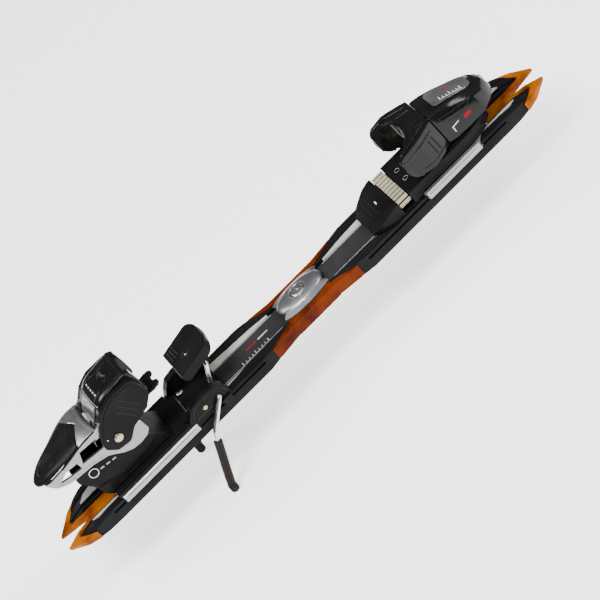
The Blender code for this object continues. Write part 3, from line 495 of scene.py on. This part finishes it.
def rib_section(step, front, back):
    """Chamfered corners on a rib, or deeper ones in the groove after it."""
    top = 0.0 if (step % STEPS_PER_RIB) / STEPS_PER_RIB < RIB_SHARE else GROOVE_DEPTH
    return ((front, BELT_THICKNESS), (front, top + BELT_CHAMFER), (front + BELT_CHAMFER, top),
            (back - BELT_CHAMFER, top), (back, top + BELT_CHAMFER), (back, BELT_THICKNESS))


def core_section(_, front, back):
    """Plain corners just above the bottom of the grooves, the same at every step."""
    front, back = front + CORE_INSET, back - CORE_INSET
    return (front, CORE_UNDERSIDE), (front, CORE_TOP), (back, CORE_TOP), (back, CORE_UNDERSIDE)


def ribbed_belt():
    """Endless belt with pale ribs across it over a dark core."""
    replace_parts(belt_loop("belt_ribs", RIBS * STEPS_PER_RIB, rib_section, "belt"), "afd_belt")
    belt_loop("belt_core", CORE_STEPS, core_section, "satin_black")


# ---------- wires ----------

# the left arm's middle line in XYZ, and the line of its sleeve in XZ
ARM_ROUTE = ((-104.5, 8.8, 45.5), (-104.5, 15.0, 45.5), (-104.8, 17.2, 44.8), (-105.7, 18, 42.5),
             (-115.2, 18, 24.6), (-116.6, 18.6, 22.2), (-117, 20.4, 21.5), (-117, 33.0, 21.5),
             (-117.3, 35.2, 21.1), (-119.2, 36.6, 19.6), (-139, 39.6, 3.0), (-143.6, 40.2, -2.6),
             (-147.5, 40.6, -10), (-157.5, 41.6, -32))
TIP_ROUTE = ((-146.6, -8.2), (-147.4, -10), (-152.3, -21), (-157.5, -32.2), (-163.2, -45), (-167.4, -55))
TIP_Y = 41.2
KNOB_X, KNOB_Z = -166.9, -56


def smooth_route(points, steps=5):
    """A Catmull-Rom curve through the points."""
    places = [Vector(point) for point in points]
    padded = [places[0]] + places + [places[-1]]
    route = []
    for before, first, second, after in zip(padded, padded[1:], padded[2:], padded[3:]):
        for step in range(steps):
            share = step / steps
            route.append(0.5 * (2 * first + (second - before) * share
                                + (2 * before - 5 * first + 4 * second - after) * share ** 2
                                + (3 * first - before - 3 * second + after) * share ** 3))
    route.append(places[-1])
    return route


def tube(name, points, radius, body, slot, finish_name=None, resolution=4):
    """A capped round bar along points in mm."""
    curve = bpy.data.curves.new(name, "CURVE")
    curve.dimensions = "3D"
    curve.bevel_depth = radius * MM
    curve.bevel_resolution = resolution
    curve.use_fill_caps = True
    spline = curve.splines.new("POLY")
    spline.points.add(len(points) - 1)
    for point, place in zip(spline.points, points):
        point.co = (*(Vector(place) * MM), 1.0)
    guide = bpy.data.objects.new(name + "_guide", curve)
    bpy.context.scene.collection.objects.link(guide)
    mesh = evaluated_mesh(guide)
    bpy.data.objects.remove(guide, do_unlink=True)
    piece = new_piece(name, mesh, body, slot, finish_name)
    weld = piece.modifiers.new("weld", "WELD")
    weld.merge_threshold = 0.00001
    smooth(piece, 50)
    return piece


def across_knob(sign, start, end):
    return [(KNOB_X, sign * start, KNOB_Z), (KNOB_X, sign * end, KNOB_Z)]


def brake_tips():
    """Moulded sleeves over the outer arms, each with a knob across its end."""
    for hand, sign in LEFT_RIGHT:
        route = smooth_route([(x, sign * TIP_Y, z) for x, z in TIP_ROUTE])
        sleeve = tube(f"brake_tip_{hand}_shown", route, 4.2, "brake_arms", "satin_black", "arm_tip", 6)
        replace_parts(sleeve, f"brake_tip_{hand}")
        knob = tube(f"brake_knob_{hand}", across_knob(sign, 36.9, 45.4), 4.3, "brake_arms", "satin_black",
                    "arm_tip", 7)
        for piece in (sleeve, knob):
            round_edges(piece, 0.9, angle=50)
        tube(f"brake_knob_core_{hand}", across_knob(sign, 45.0, 45.55), 1.5, "brake_arms", "satin_black",
             "band", 4)


def brake_wires():
    """The bent wire of each arm, from the pedal through the block to the sleeve."""
    for hand, sign in LEFT_RIGHT:
        route = smooth_route([(x, sign * y, z) for x, y, z in ARM_ROUTE])
        arm = tube(f"brake_wire_{hand}", route, 2.3, "brake_arms", "spring_steel")
        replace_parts(arm, f"brake_arm_{hand}")


# ---------- toe details ----------

def toe_scale():
    """Ticks and a pointer on the toe's window."""
    for index in range(7):
        x = 212.0 + 3.4 * index
        tick = 4.5 if index % 3 == 0 else 2.6
        top_mark(f"toe_scale_tick_{index}", "toe_window", [(x, -8.5), (x, -8.5 + tick)], 0.7, "scale_white",
                 height=0.15)
    top_mark("toe_scale_line", "toe_window", [(211, -9.4), (234, -9.4)], 0.6, "scale_white", height=0.15)
    top_mark("toe_scale_pointer", "toe_window", [(222, 1), (222, 6)], 1.8, "mark_red", height=0.15)


def toe_sides():
    """Panel lines, plain marks and ribs on the sides of the toe."""
    panel = [(197, 57), (231, 48.5), (221, 46.5), (207, 47.5), (199, 53)]
    side_marks("toe_panel_line", "toe_housing", panel, 0.45, "band", closed=True, height=0.2)
    corner = [(202, 36), (202, 42), (210, 42.6)]
    side_marks("toe_white_mark", "toe_housing", corner, 0.9, "scale_white", height=0.12)
    side_marks("toe_red_mark", "toe_housing", [(216, 41), (224, 41)], 3.6, "mark_red", height=0.12)
    side_marks("jaw_rib", "toe_jaw", [(150, 56), (165, 58.5), (184, 58.5)], 1.2, "gloss_black", height=0.5)
    side_marks("jaw_skirt_rib", "toe_jaw", [(158, 38), (172, 35), (186, 35)], 1.0, "gloss_black", height=0.4)
    for side, facing, _ in SIDES:
        for x in (176.5, 181.5):
            mark(f"jaw_recess_edge_{side}_{x:.0f}", shown("toe_jaw"), facing, [(x, 38), (x, 54)], 0.8,
                 "satin_black", height=0.35)
    side_marks("ramp_rib", "toe_pedestal", [(136, 20.5), (226, 20.5)], 1.0, "gloss_black", height=0.4)


def jaw_details():
    """Bosses, ridges and lips on top of the jaw, and the edge that grips the boot."""
    for index, y in enumerate((-20.0, 20.0)):
        top_mark(f"jaw_boss_{index}", "toe_jaw", ring_path((179, y), 3.2), 1.3, "gloss_black", closed=True,
                 height=0.7)
        top_mark(f"jaw_boss_core_{index}", "toe_jaw", ring_path((179, y), 0.8, 12), 1.4, "satin_black",
                 closed=True, height=0.35)
    for side, _, sign in SIDES:
        ridge = [(186, sign * 20), (172, sign * 26), (160, sign * 31), (150, sign * 32.5)]
        top_mark(f"jaw_ridge_{side}", "toe_jaw", ridge, 2.2, "gloss_black", height=0.9)
        blade = [(147.6, sign * 34.0, 58), (145.4, sign * 33.6, 50), (146.0, sign * 32.8, 42),
                 (149.4, sign * 31.6, 35.5), (155.5, sign * 30.4, 31.6)]
        tube(f"jaw_blade_{side}", smooth_route(blade), 1.7, "toe_head", "gloss_black")
    mouth = [(150, -31), (159, -27), (168.5, -15.5), (171.5, 0), (168.5, 15.5), (159, 27), (150, 31)]
    top_mark("jaw_mouth_lip", "toe_jaw", mouth, 1.0, "gloss_black", height=0.6)
    crest = [(172, -16), (186, -12), (186, 12), (172, 16)]
    top_mark("jaw_crest", "toe_jaw", crest, 1.2, "gloss_black", height=0.5)


def ramp_details():
    """Rings, grooves and a plain mark on the deck and ramp under the boot's toe."""
    for index, y in enumerate((-9.0, 9.0)):
        top_mark(f"deck_ring_{index}", "toe_pedestal", ring_path((141, y), 2.6), 0.8, "track", closed=True,
                 height=0.2)
    top_mark("ramp_mark", "toe_pedestal", [(106, -2.5), (106, 2.5)], 1.4, "scale_white", height=0.1)
    for index, x in enumerate((92.0, 96.5, 101.0)):
        half = 14.0 + 2.4 * index
        top_mark(f"ramp_groove_{index}", "toe_pedestal", [(x, -half), (x, half)], 0.7, "satin_black")


# ---------- centre cap ----------

# quarter outlines in plan, from the end on the X axis round to the middle of the side
CAP_SKIRT = ((26.4, 0), (23.4, 8.6), (28.0, 15.2), (20, 18.6), (10, 20.5), (0, 21.0))
CAP_CROWN = ((25.4, 0), (24.4, 4.5), (22.4, 8.2), (16, 12.2), (8, 14.8), (0, 15.6))
# outline, share of it or radius in mm, and height of each ring
CAP_RINGS = ((CAP_SKIRT, 1.0, 13.3), (CAP_SKIRT, 1.0, 14.3), (CAP_SKIRT, 0.985, 14.8),
             (CAP_CROWN, 1.05, 16.6), (CAP_CROWN, 1.0, 17.5), (CAP_CROWN, 0.96, 18.1),
             (CAP_CROWN, 0.84, 18.9), (None, 10.4, 19.5), (None, 8.2, 19.6), (None, 7.9, 19.3),
             (None, 7.9, 17.6), (None, 3.4, 17.6), (None, 3.4, 13.3))
CAP_SIDES = 96


def outline_distance(quarter, angle):
    """Distance from the middle to a mirrored quarter outline, in the direction of an angle."""
    across, along = abs(math.cos(angle)), abs(math.sin(angle))
    for (x1, y1), (x2, y2) in zip(quarter, quarter[1:]):
        turn1, turn2 = x1 * along - y1 * across, x2 * along - y2 * across
        if turn1 >= 0 >= turn2:
            share = turn1 / (turn1 - turn2)
            return math.hypot(x1 + (x2 - x1) * share, y1 + (y2 - y1) * share)
    return quarter[-1][1]


def center_cap():
    """Cap with a crown over a skirt that runs out in four points beside the band."""
    bm = bmesh.new()
    rings = []
    for quarter, size, height in CAP_RINGS:
        ring = []
        for index in range(CAP_SIDES):
            angle = 2 * math.pi * index / CAP_SIDES
            distance = size * outline_distance(quarter, angle) if quarter else size
            x, y = distance * math.cos(angle), distance * math.sin(angle)
            ring.append(bm.verts.new(Vector((x, y, height)) * MM))
        rings.append(ring)
    bridge(bm, rings + rings[:1])
    cap = new_piece("center_cap_shown", mesh_of(bm, "center_cap_shown"), "plate", "satin_silver")
    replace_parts(cap, "center_cap")
    smooth(cap, 24)


# ---------- plate details ----------

def plate_details():
    """Scale and plain bars on the band, beads on the plate and a ring around the centre screw."""
    for index in range(9):
        x = -50.0 - 4.0 * index
        tick = 4.0 if index % 4 == 0 else 2.4
        top_mark(f"band_tick_{index}", "connecting_band", [(x, -12.5), (x, -12.5 + tick)], 0.6, "scale_white",
                 height=0.08)
    top_mark("band_red_mark", "connecting_band", [(-72, 1), (-60, 1)], 2.0, "mark_red", height=0.08)
    top_mark("band_white_mark", "connecting_band", [(-57, 1), (-45, 1)], 2.0, "inlay", height=0.08)
    for side in (1, -1):
        for place, start, end in (("front", 33, 84), ("rear", -33, -108)):
            top_mark(f"band_edge_{place}_{side}", "connecting_band",
                     [(start, side * 13.9), (end, side * 13.9)], 0.5, "inlay", height=0.12)
        for place, start, end in (("front", 66, 126), ("rear", -66, -104)):
            top_mark(f"plate_bead_{place}_{side}", "rail_plate",
                     [(start, side * 30.5), (end, side * 30.5)], 0.9, "rail_plate", height=0.35)
    top_mark("cap_ring", "center_cap", ring_path((0, 0), 9.6, 36), 0.6, "track", closed=True, height=0.15)


# ---------- heel details ----------

def in_head(x, y, z):
    """A point given in mm from the pivot, as it lies while the head is closed, in metres where it stands."""
    return HEEL_TURN @ (Vector((x, y, z)) * MM)


def head_facing(origin, first, second, toward):
    """A drawing plane that is turned with the open heel head."""
    turn = HEEL_TURN.to_3x3()
    facing = Facing((0, 0, 0), turn @ Vector(first), turn @ Vector(second), turn @ Vector(toward))
    facing.origin = in_head(*origin)
    return facing


CUP_TOP = head_facing((0, 0, 60), (1, 0, 0), (0, 1, 0), (0, 0, -1))
CHEEK_NEAR = head_facing((0, -60, 0), (1, 0, 0), (0, 0, 1), (0, 1, 0))
CHEEK_FAR = head_facing((0, 60, 0), (1, 0, 0), (0, 0, 1), (0, -1, 0))

WINDOW_START, WINDOW_END, WINDOW_MIDDLE = 3.0, 24.4, 13.8
WINDOW_REACH, WINDOW_HALF = 12.0, 16.0
WINDOW_ROUNDING = 4.0    # exponent of the outline: 2 is an oval, larger is squarer
WINDOW_ALONG, WINDOW_ACROSS = 20, 16


def window_pane(cup):
    """A curved pane that follows the cup's top, with a rounded outline."""
    bm = bmesh.new()
    grid = []
    for column in range(WINDOW_ALONG + 1):
        first = WINDOW_START + (WINDOW_END - WINDOW_START) * column / WINDOW_ALONG
        share = min(1.0, abs(first - WINDOW_MIDDLE) / WINDOW_REACH)
        width = WINDOW_HALF * (1.0 - share ** WINDOW_ROUNDING) ** (1 / WINDOW_ROUNDING)
        line = [CUP_TOP.at((first, -width + 2 * width * row / WINDOW_ACROSS))
                for row in range(WINDOW_ACROSS + 1)]
        places = [on_surface(cup, start, CUP_TOP.toward) for start in line]
        grid.append([bm.verts.new(place - CUP_TOP.toward * 0.2 * MM) if place else None for place in places])
    fill_grid(bm, grid)
    bmesh.ops.delete(bm, geom=[vert for vert in bm.verts if not vert.link_faces], context="VERTS")
    mesh = mesh_of(bm, "cup_window", -CUP_TOP.toward)
    pane = new_piece("cup_window", mesh, cup["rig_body"], cup["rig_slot"], "smoky_window")
    thicken(pane, 0.5)
    round_edges(pane, 0.25, segments=2)
    smooth(pane)
    return pane


def heel_window():
    """The cup's window with a scale of ticks on it."""
    window = window_pane(shown("heel_cup"))
    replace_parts(window, "heel_window")
    for index in range(7):
        y = -12.0 + 4.0 * index
        mark(f"cup_tick_{index}", window, CUP_TOP, [(20.5, y), (23.0, y)], 0.6, "scale_white", height=0.12)
    line = [(19.6, -13), (18.8, 0), (19.6, 13)]
    mark("cup_scale_line", window, CUP_TOP, line, 0.5, "scale_white", height=0.12)


def head_ring(bm, x, height, radius, sides):
    """Vertices of a circle around a line along the head's X axis."""
    angles = (2 * math.pi * index / sides for index in range(sides))
    return [bm.verts.new(in_head(x, radius * math.cos(angle), height + radius * math.sin(angle)))
            for angle in angles]


def sheet(name, across, down, place, thickness, body, finish_name):
    """A thick curved sheet. place(a, b) gives a point in metres for a and b from 0 to 1."""
    bm = bmesh.new()
    fill_grid(bm, [[bm.verts.new(place(row / across, column / down)) for column in range(down + 1)]
                   for row in range(across + 1)])
    piece = new_piece(name, mesh_of(bm, name), body, finish_name)
    thicken(piece, thickness, 0.0)
    round_edges(piece, 0.3, segments=2, angle=50)
    smooth(piece, 45)
    return piece


# the cap's middle line from the window down to the tread, in the closed head's XZ plane
CAP_LINE = ((25.5, 20.3), (31, 19.6), (37, 17.0), (43, 13.0), (49, 8.6), (54, 4.8), (58, 1.9))


def along_line(points, share):
    """Point a share of the way along a smoothed line in the head's XZ plane."""
    route = smooth_route([(x, 0, z) for x, z in points], 8)
    place = share * (len(route) - 1)
    index = min(int(place), len(route) - 2)
    return route[index].lerp(route[index + 1], place - index)


def cup_cap():
    """Glossy crowned cap over the cup, with a pale line painted on as a highlight where the window begins."""
    half = CUP_HALF - 0.4

    def place(across, down):
        here, y = along_line(CAP_LINE, down), half * (2 * across - 1)
        side = abs(y) / half
        return in_head(here.x, y, here.z + 0.7 * (1 - side ** 2) - 1.6 * side ** 9)

    cap = sheet("cup_cap", 28, 24, place, 1.1, "heel_head", "gloss_black")
    # painted highlight: a pale strip across the cap where the window begins
    mark("cup_cap_painted_highlight", cap, CUP_TOP, [(26.4, -21.5), (26.4, 21.5)], 0.7, "track", height=0.2)
    for index in range(5):
        y = -11.0 + 5.5 * index
        mark(f"cup_dash_{index}", cap, CUP_TOP, [(33.5, y - 1.5), (33.5, y + 1.5)], 1.5, "inlay", height=0.1)
    for side in (1, -1):
        ridge = [(29, side * 15.5), (38, side * 13.5), (46, side * 9.5), (55, side * 11.5)]
        mark(f"cap_ridge_{side}", cap, CUP_TOP, ridge, 1.1, "gloss_black", height=0.5)


APRON_RADIUS, APRON_START, APRON_SWEEP = 20.5, 121.0, 45.0


def lever_apron():
    """Curved wall below the shell's front edge that closes the gap behind the cup."""
    def place(across, down):
        angle, y = math.radians(APRON_START + APRON_SWEEP * down), (LEVER_INSIDE - 0.3) * (2 * across - 1)
        return HEEL_PIVOT + Vector((APRON_RADIUS * math.cos(angle), y, APRON_RADIUS * math.sin(angle))) * MM

    sheet("lever_apron", 4, 14, place, 1.0, "heel_lever", "smoky_window")


SCREW_HEIGHT = 9.5    # of the setting screw's axis above the pivot, with the head closed
# distance from the pivot and radius of each ring
SCREW_SLEEVE = ((36.0, 5.05), (36.0, 5.75), (47.3, 5.75), (48.0, 5.4), (48.0, 5.05))


def screw_sleeve():
    """Collar where the heel's setting screw comes out through the cup's slope."""
    bm = bmesh.new()
    rings = [head_ring(bm, x, SCREW_HEIGHT, radius, 40) for x, radius in SCREW_SLEEVE]
    bridge(bm, rings + rings[:1])
    sleeve = new_piece("screw_sleeve", mesh_of(bm, "screw_sleeve"), "heel_head", "satin_black")
    smooth(sleeve, 40)


# half the tread in plan, from its root to the fork
SPUR_OUTLINE = ((-176, 12.5), (-163, 12.8), (-153, 14), (-147.5, 13.2), (-145.2, 10.4), (-145.4, 6.2),
                (-148.6, 4.4), (-149.4, 0))


def spur_height(x, share):
    """Underside or top of the tread: it thickens towards its end."""
    along = (x + 176.0) / 31.0
    return (60.0 + 1.4 * along) * (1.0 - share) + (62.6 + 1.8 * along) * share


def heel_spur():
    """Tread with a forked end and a lip across it."""
    outline = list(SPUR_OUTLINE) + [(x, -y) for x, y in reversed(SPUR_OUTLINE[:-1])]
    bm = bmesh.new()
    rings = [[bm.verts.new(Vector((x, y, spur_height(x, share))) * MM) for x, y in outline]
             for share in (0.0, 1.0)]
    bridge(bm, rings)
    bm.faces.new(rings[0])
    bm.faces.new(rings[1])
    spur = new_piece("heel_spur_shown", mesh_of(bm, "heel_spur_shown"), "heel_head", "satin_black")
    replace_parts(spur, "heel_spur")
    round_edges(spur, 0.9)
    smooth(spur, 40)
    top_mark("spur_lip", "heel_spur", [(-152.5, -12.5), (-152.5, 12.5)], 1.6, "satin_black", height=0.9)
    for side in (1, -1):
        top_mark(f"spur_groove_{side}", "heel_spur", [(-170, side * 7), (-155, side * 7)], 0.8, "gloss_black",
                 height=0.4)


def cheek_details():
    """Rim, grooves and dot on each cheek, and the dished end of the axle."""
    rim = [(-9, 6), (-2, 13.5), (8, 16.2), (24, 16.6), (36, 12.6), (45, 4), (52, -4), (47, -14), (42, -21)]
    for side, facing, hand in (("near", CHEEK_NEAR, "right"), ("far", CHEEK_FAR, "left")):
        cheek = shown("heel_cheek_" + hand)
        mark(f"cheek_rim_{side}", cheek, facing, rim, 0.9, "satin_black", height=0.35)
        for index in range(3):
            x = 20.0 + 6.0 * index
            mark(f"cheek_groove_{side}_{index}", cheek, facing, [(x, -16), (x + 5, 6)], 0.7, "gloss_black")
        mark(f"cheek_dot_{side}", cheek, facing, ring_path((-3.0, 10.0), 0.35, 8), 0.7, "scale_white",
             closed=True, height=0.15)
        mark(f"rivet_dish_{side}", shown("heel_axle"), facing, ring_path((0, 0), 1.6, 20), 0.5, "screw_steel",
             closed=True, height=0.15)


def bracket_details():
    """Plain ring and dashes on the tower's sides, and the ribs of its foot."""
    side_marks("bracket_ring", "heel_bracket", ring_path((-245, 49), 4.6), 0.8, "scale_white", closed=True,
               height=0.12)
    for side, facing, _ in SIDES:
        for index in range(3):
            x = -238.0 + 6.5 * index
            mark(f"bracket_dash_{side}_{index}", shown("heel_bracket"), facing,
                 [(x, 47.5 - index), (x + 4, 47 - index)], 1.6, "inlay", height=0.12)
    rib = [(-250, 34), (-226, 27), (-196, 27), (-180, 30)]
    side_marks("bracket_rib", "heel_bracket", rib, 1.2, "satin_black", height=0.6)
    side_marks("bracket_foot", "heel_bracket", [(-244, 21.5), (-172, 21.5)], 1.2, "satin_black", height=0.6)
    for side in (1, -1):
        top_mark(f"carrier_bead_{side}", "heel_bracket", [(-240, side * 30), (-160, side * 30)], 1.2,
                 "satin_black", height=0.5)


# X, half-width, underside and top of each section
PAD_STATIONS = ((-290.5, 3.0, 69.8, 70.9), (-289, 7, 69.5, 72.0), (-284, 13.0, 70.0, 74.2),
                (-277, 17.0, 71.8, 77.0), (-266, 20.5, 74.4, 79.2), (-254, 23.2, 78.2, 81.2),
                (-245, 25.0, 81.0, 83.4), (-237, 26.0, 83.3, 85.2), (-236.2, 21.5, 83.7, 85.4),
                (-231, 12.5, 84.0, 85.8), (-226, 3.0, 84.4, 86.2))
PAD_ACROSS = 18


def pad_ring(bm, x, half, low, high):
    """One section of the pad: a crowned top with a thumb dent, and its two lower corners."""
    ring = []
    for step in range(PAD_ACROSS + 1):
        share = -1.0 + 2.0 * step / PAD_ACROSS
        y = half * math.copysign(abs(share) ** 0.8, share)
        crown = 0.8 * (1.0 - share ** 2) - (high - low) * 0.55 * abs(share) ** 6
        dent = 2.2 * math.exp(-((x + 270.0) / 9.0) ** 2 - (y / 8.0) ** 2)
        ring.append(bm.verts.new(Vector((x, y, high + crown - dent)) * MM))
    return ring + [bm.verts.new(Vector((x, y, low)) * MM) for y in (half, -half)]


def lever_pad():
    """Crowned rubber pad with a lip around its thumb dent."""
    bm = bmesh.new()
    rings = [pad_ring(bm, *station) for station in PAD_STATIONS]
    bridge(bm, rings)
    bm.faces.new(rings[0])
    bm.faces.new(rings[-1])
    pad = new_piece("lever_pad_shown", mesh_of(bm, "lever_pad_shown"), "heel_lever", "pad_rubber")
    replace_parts(pad, "lever_pad")
    soften = pad.modifiers.new("soften", "SUBSURF")
    soften.levels = 2
    soften.render_levels = 2
    smooth(pad, 60)
    lip = ring_path((-269, 0), 9.5, 40, 1.35)
    top_mark("pad_lip", "lever_pad", lip, 0.8, "gloss_black", closed=True, height=0.3)


SHELL_HALF, NOSE_HALF, NOSE_DEPTH = 27.0, 23.0, 11.0
SHELL_ACROSS, SHELL_ALONG = 32, 14


def lever_shell():
    """Saddle of silver lacquer behind the cup, notched for the pad's nose and arched at the front."""
    bm = bmesh.new()
    grid = []
    for step in range(SHELL_ACROSS + 1):
        y = -SHELL_HALF + 2 * SHELL_HALF * step / SHELL_ACROSS
        rear = -236.4 + max(0.0, NOSE_DEPTH * (1.0 - abs(y) / NOSE_HALF))
        front = -217.8 + 3.2 * (y / SHELL_HALF) ** 2
        line = []
        for column in range(SHELL_ALONG + 1):
            x = rear + (front - rear) * column / SHELL_ALONG
            share = (x + 236.5) / 22.0
            arch = 1.5 * math.sin(math.pi * min(1.0, max(0.0, share)))
            top = 86.4 + arch - 2.4 * (abs(y) / SHELL_HALF) ** 3
            line.append(bm.verts.new(Vector((x, y, top)) * MM))
        grid.append(line)
    fill_grid(bm, grid)
    mesh = mesh_of(bm, "lever_shell_shown", Vector((0, 0, 1)))
    shell = new_piece("lever_shell_shown", mesh, "heel_lever", "satin_silver")
    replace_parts(shell, "lever_shell")
    thicken(shell, 1.6, -1.0)
    round_edges(shell, 0.4)
    smooth(shell, 45)
    bead = [(-218.4, -24), (-220.0, -12), (-220.6, 0), (-220.0, 12), (-218.4, 24)]
    top_mark("shell_front_bead", "lever_shell", bead, 0.7, "track")


# openings through the lever's side plates, as outlines in XZ
LEVER_OPENINGS = (((-272.5, 63.8), (-248.6, 62.8), (-248.6, 70.4), (-261.5, 70.8)),
                  ((-245.0, 65.8), (-221, 64.6), (-221.5, 77.8), (-240, 77.6)))


def opened(piece, outlines):
    """Widen the openings that run through a piece along Y."""
    plain = bpy.data.objects.new("plain", piece.data)
    bpy.context.scene.collection.objects.link(plain)
    cutters = []
    for outline in outlines:
        bm = bmesh.new()
        ends = [[bm.verts.new(Vector((x, y, z)) * MM) for x, z in outline] for y in (-40, 40)]
        bridge(bm, ends)
        for end in ends:
            bm.faces.new(end)
        cutter = bpy.data.objects.new("opening", mesh_of(bm, "opening"))
        bpy.context.scene.collection.objects.link(cutter)
        cutting = plain.modifiers.new("opening", "BOOLEAN")
        cutting.operation = "DIFFERENCE"
        cutting.solver = "EXACT"
        cutting.object = cutter
        cutters.append(cutter)
    piece.data = evaluated_mesh(plain)
    for helper in cutters + [plain]:
        bpy.data.objects.remove(helper, do_unlink=True)
    smooth(piece)


def lever_details():
    """Openings, a dark seam under the pad and shell, and a bead along each side plate."""
    opened(shown("lever_frame"), LEVER_OPENINGS)
    for side, _, sign in SIDES:
        seam = [(-262, sign * 22.4, 75.6), (-250, sign * 25.0, 79.2), (-238, sign * 26.6, 82.6),
                (-228, sign * 27.0, 83.8), (-217, sign * 27.0, 84.2)]
        tube(f"lever_seam_{side}", smooth_route(seam), 0.75, "heel_lever", "satin_black")
    bead = [(-276, 62.8), (-262, 60.2), (-240, 60), (-226, 57.6)]
    side_marks("lever_bead", "lever_frame", bead, 0.7, "track")


def pedal_details():
    """Oval with a dot, ridge and grooves on the pedal."""
    oval = ring_path((-112, -6), 3.6, 24, 1.25)
    top_mark("pedal_oval", "brake_pedal", oval, 0.6, "gloss_black", closed=True, height=0.3)
    dot = ring_path((-112, -6), 0.5, 8)
    top_mark("pedal_dot", "brake_pedal", dot, 1.0, "inlay", closed=True, height=0.15)
    ridge = [(-95.5, -21), (-92, -12), (-91, 0), (-92, 12), (-95.5, 21)]
    top_mark("pedal_ridge", "brake_pedal", ridge, 1.4, "satin_black", height=0.5)
    for index, x in enumerate((-124.0, -120.5, -117.0)):
        top_mark(f"pedal_groove_{index}", "brake_pedal", [(x, 4), (x, 19)], 0.8, "gloss_black", height=0.2)


def block_details():
    """Rims and ribs on the brake's block, and a cross in each of its screws."""
    rim = [(-148, 22), (-142.5, 29), (-133, 31), (-117, 30.6), (-110.5, 26.5), (-107.8, 18)]
    side_marks("block_rim", "brake_base", rim, 0.9, "gloss_black", height=0.35)
    side_marks("block_rib", "brake_base", [(-147, 18.5), (-126, 18.5)], 0.8, "gloss_black", height=0.3)
    for side, hand, y in (("near", "right", -20), ("far", "left", 20)):
        for name, path in (("x", [(-144.6, y), (-139.4, y)]), ("y", [(-142, y - 2.6), (-142, y + 2.6)])):
            top_mark(f"screw_cross_{name}_{side}", "brake_screw_" + hand, path, 0.9, "satin_black",
                     height=0.05)


def track_details():
    """A dark line along the outer edge of both sliders."""
    for node, start, end in (("toe_track", 146, 205), ("heel_track", -239, -152)):
        side_marks(f"{node}_line", node, [(start, 14.6), (end, 14.6)], 0.5, "satin_black", height=0.08)


for make in (ribbed_belt, brake_wires, brake_tips, toe_scale, toe_sides, jaw_details, ramp_details,
             center_cap, plate_details, heel_window, cup_cap, screw_sleeve, heel_spur, lever_apron,
             cheek_details, bracket_details, lever_pad, lever_shell, lever_details, pedal_details,
             block_details, track_details):
    make()


# ---------- studio ----------

# name, place in metres, size and power of each soft light
LAMPS = (("key", (-0.5, -1.0, 2.2), 0.9, 75.0), ("side", (1.6, -0.6, 1.3), 0.7, 26.0),
         ("back", (-1.2, 1.0, 2.0), 0.8, 30.0))


def pale_floor():
    """Plain floor just below the lowest point of the object."""
    bm = bmesh.new()
    bmesh.ops.create_grid(bm, x_segments=1, y_segments=1, size=6.0)
    floor = bpy.data.objects.new("floor", mesh_of(bm, "floor", Vector((0, 0, 1))))
    bpy.context.scene.collection.objects.link(floor)
    floor.location.z = CAD_BOX[0][2] - 0.0005
    pale = Finish("pale_floor", 0.8)
    pale.colour(pale.noise(3), (0.3, (0.93, 0.93, 0.93)), (0.7, (0.95, 0.95, 0.95)))
    pale.set("Emission Color", (1.0, 1.0, 1.0, 1.0)).set("Emission Strength", 1.6)
    floor.data.materials.append(pale.made)


def soft_sky():
    """Grey around the sides and white overhead, for soft reflections."""
    world = bpy.data.worlds.new("studio")
    world.use_nodes = True
    tree = world.node_tree
    height = tree.nodes.new("ShaderNodeSeparateXYZ")
    tree.links.new(tree.nodes.new("ShaderNodeTexCoord").outputs["Generated"], height.inputs["Vector"])
    sky = tree.nodes.new("ShaderNodeValToRGB")
    for element, place, grey in zip(sky.color_ramp.elements, (0.62, 0.95), (0.13, 1.0)):
        element.position = place
        element.color = (grey, grey, grey * 1.02, 1.0)
    tree.links.new(height.outputs["Z"], sky.inputs["Fac"])
    tree.links.new(sky.outputs["Color"], tree.nodes["Background"].inputs["Color"])
    tree.nodes["Background"].inputs["Strength"].default_value = 1.0
    bpy.context.scene.world = world


def soft_lamps():
    """Three large lamps that face the object."""
    for name, place, size, power in LAMPS:
        light = bpy.data.lights.new(name, "AREA")
        light.size = size
        light.energy = power
        lamp = bpy.data.objects.new(name, light)
        lamp.location = place
        lamp.rotation_euler = (-Vector(place)).to_track_quat("-Z", "Y").to_euler()
        bpy.context.scene.collection.objects.link(lamp)


def aim_camera():
    """Long lens from the near side, 34 degrees up, rolled so that the tip points up to the right."""
    elevation, roll = math.radians(34.2), math.radians(-45.0)
    distance, target = 3.0, Vector((-0.0045, 0.0, 0.0091))
    data = bpy.data.cameras.new("camera")
    data.lens = 198.0
    data.sensor_width = 36.0
    data.clip_end = 20.0
    camera = bpy.data.objects.new("camera", data)
    bpy.context.scene.collection.objects.link(camera)
    turn = Matrix.Rotation(math.radians(90.0) - elevation, 4, "X") @ Matrix.Rotation(roll, 4, "Z")
    away = Vector((0.0, -math.cos(elevation), math.sin(elevation))) * distance
    camera.matrix_world = Matrix.Translation(target + away) @ turn
    bpy.context.scene.camera = camera


pale_floor()
soft_sky()
soft_lamps()
aim_camera()
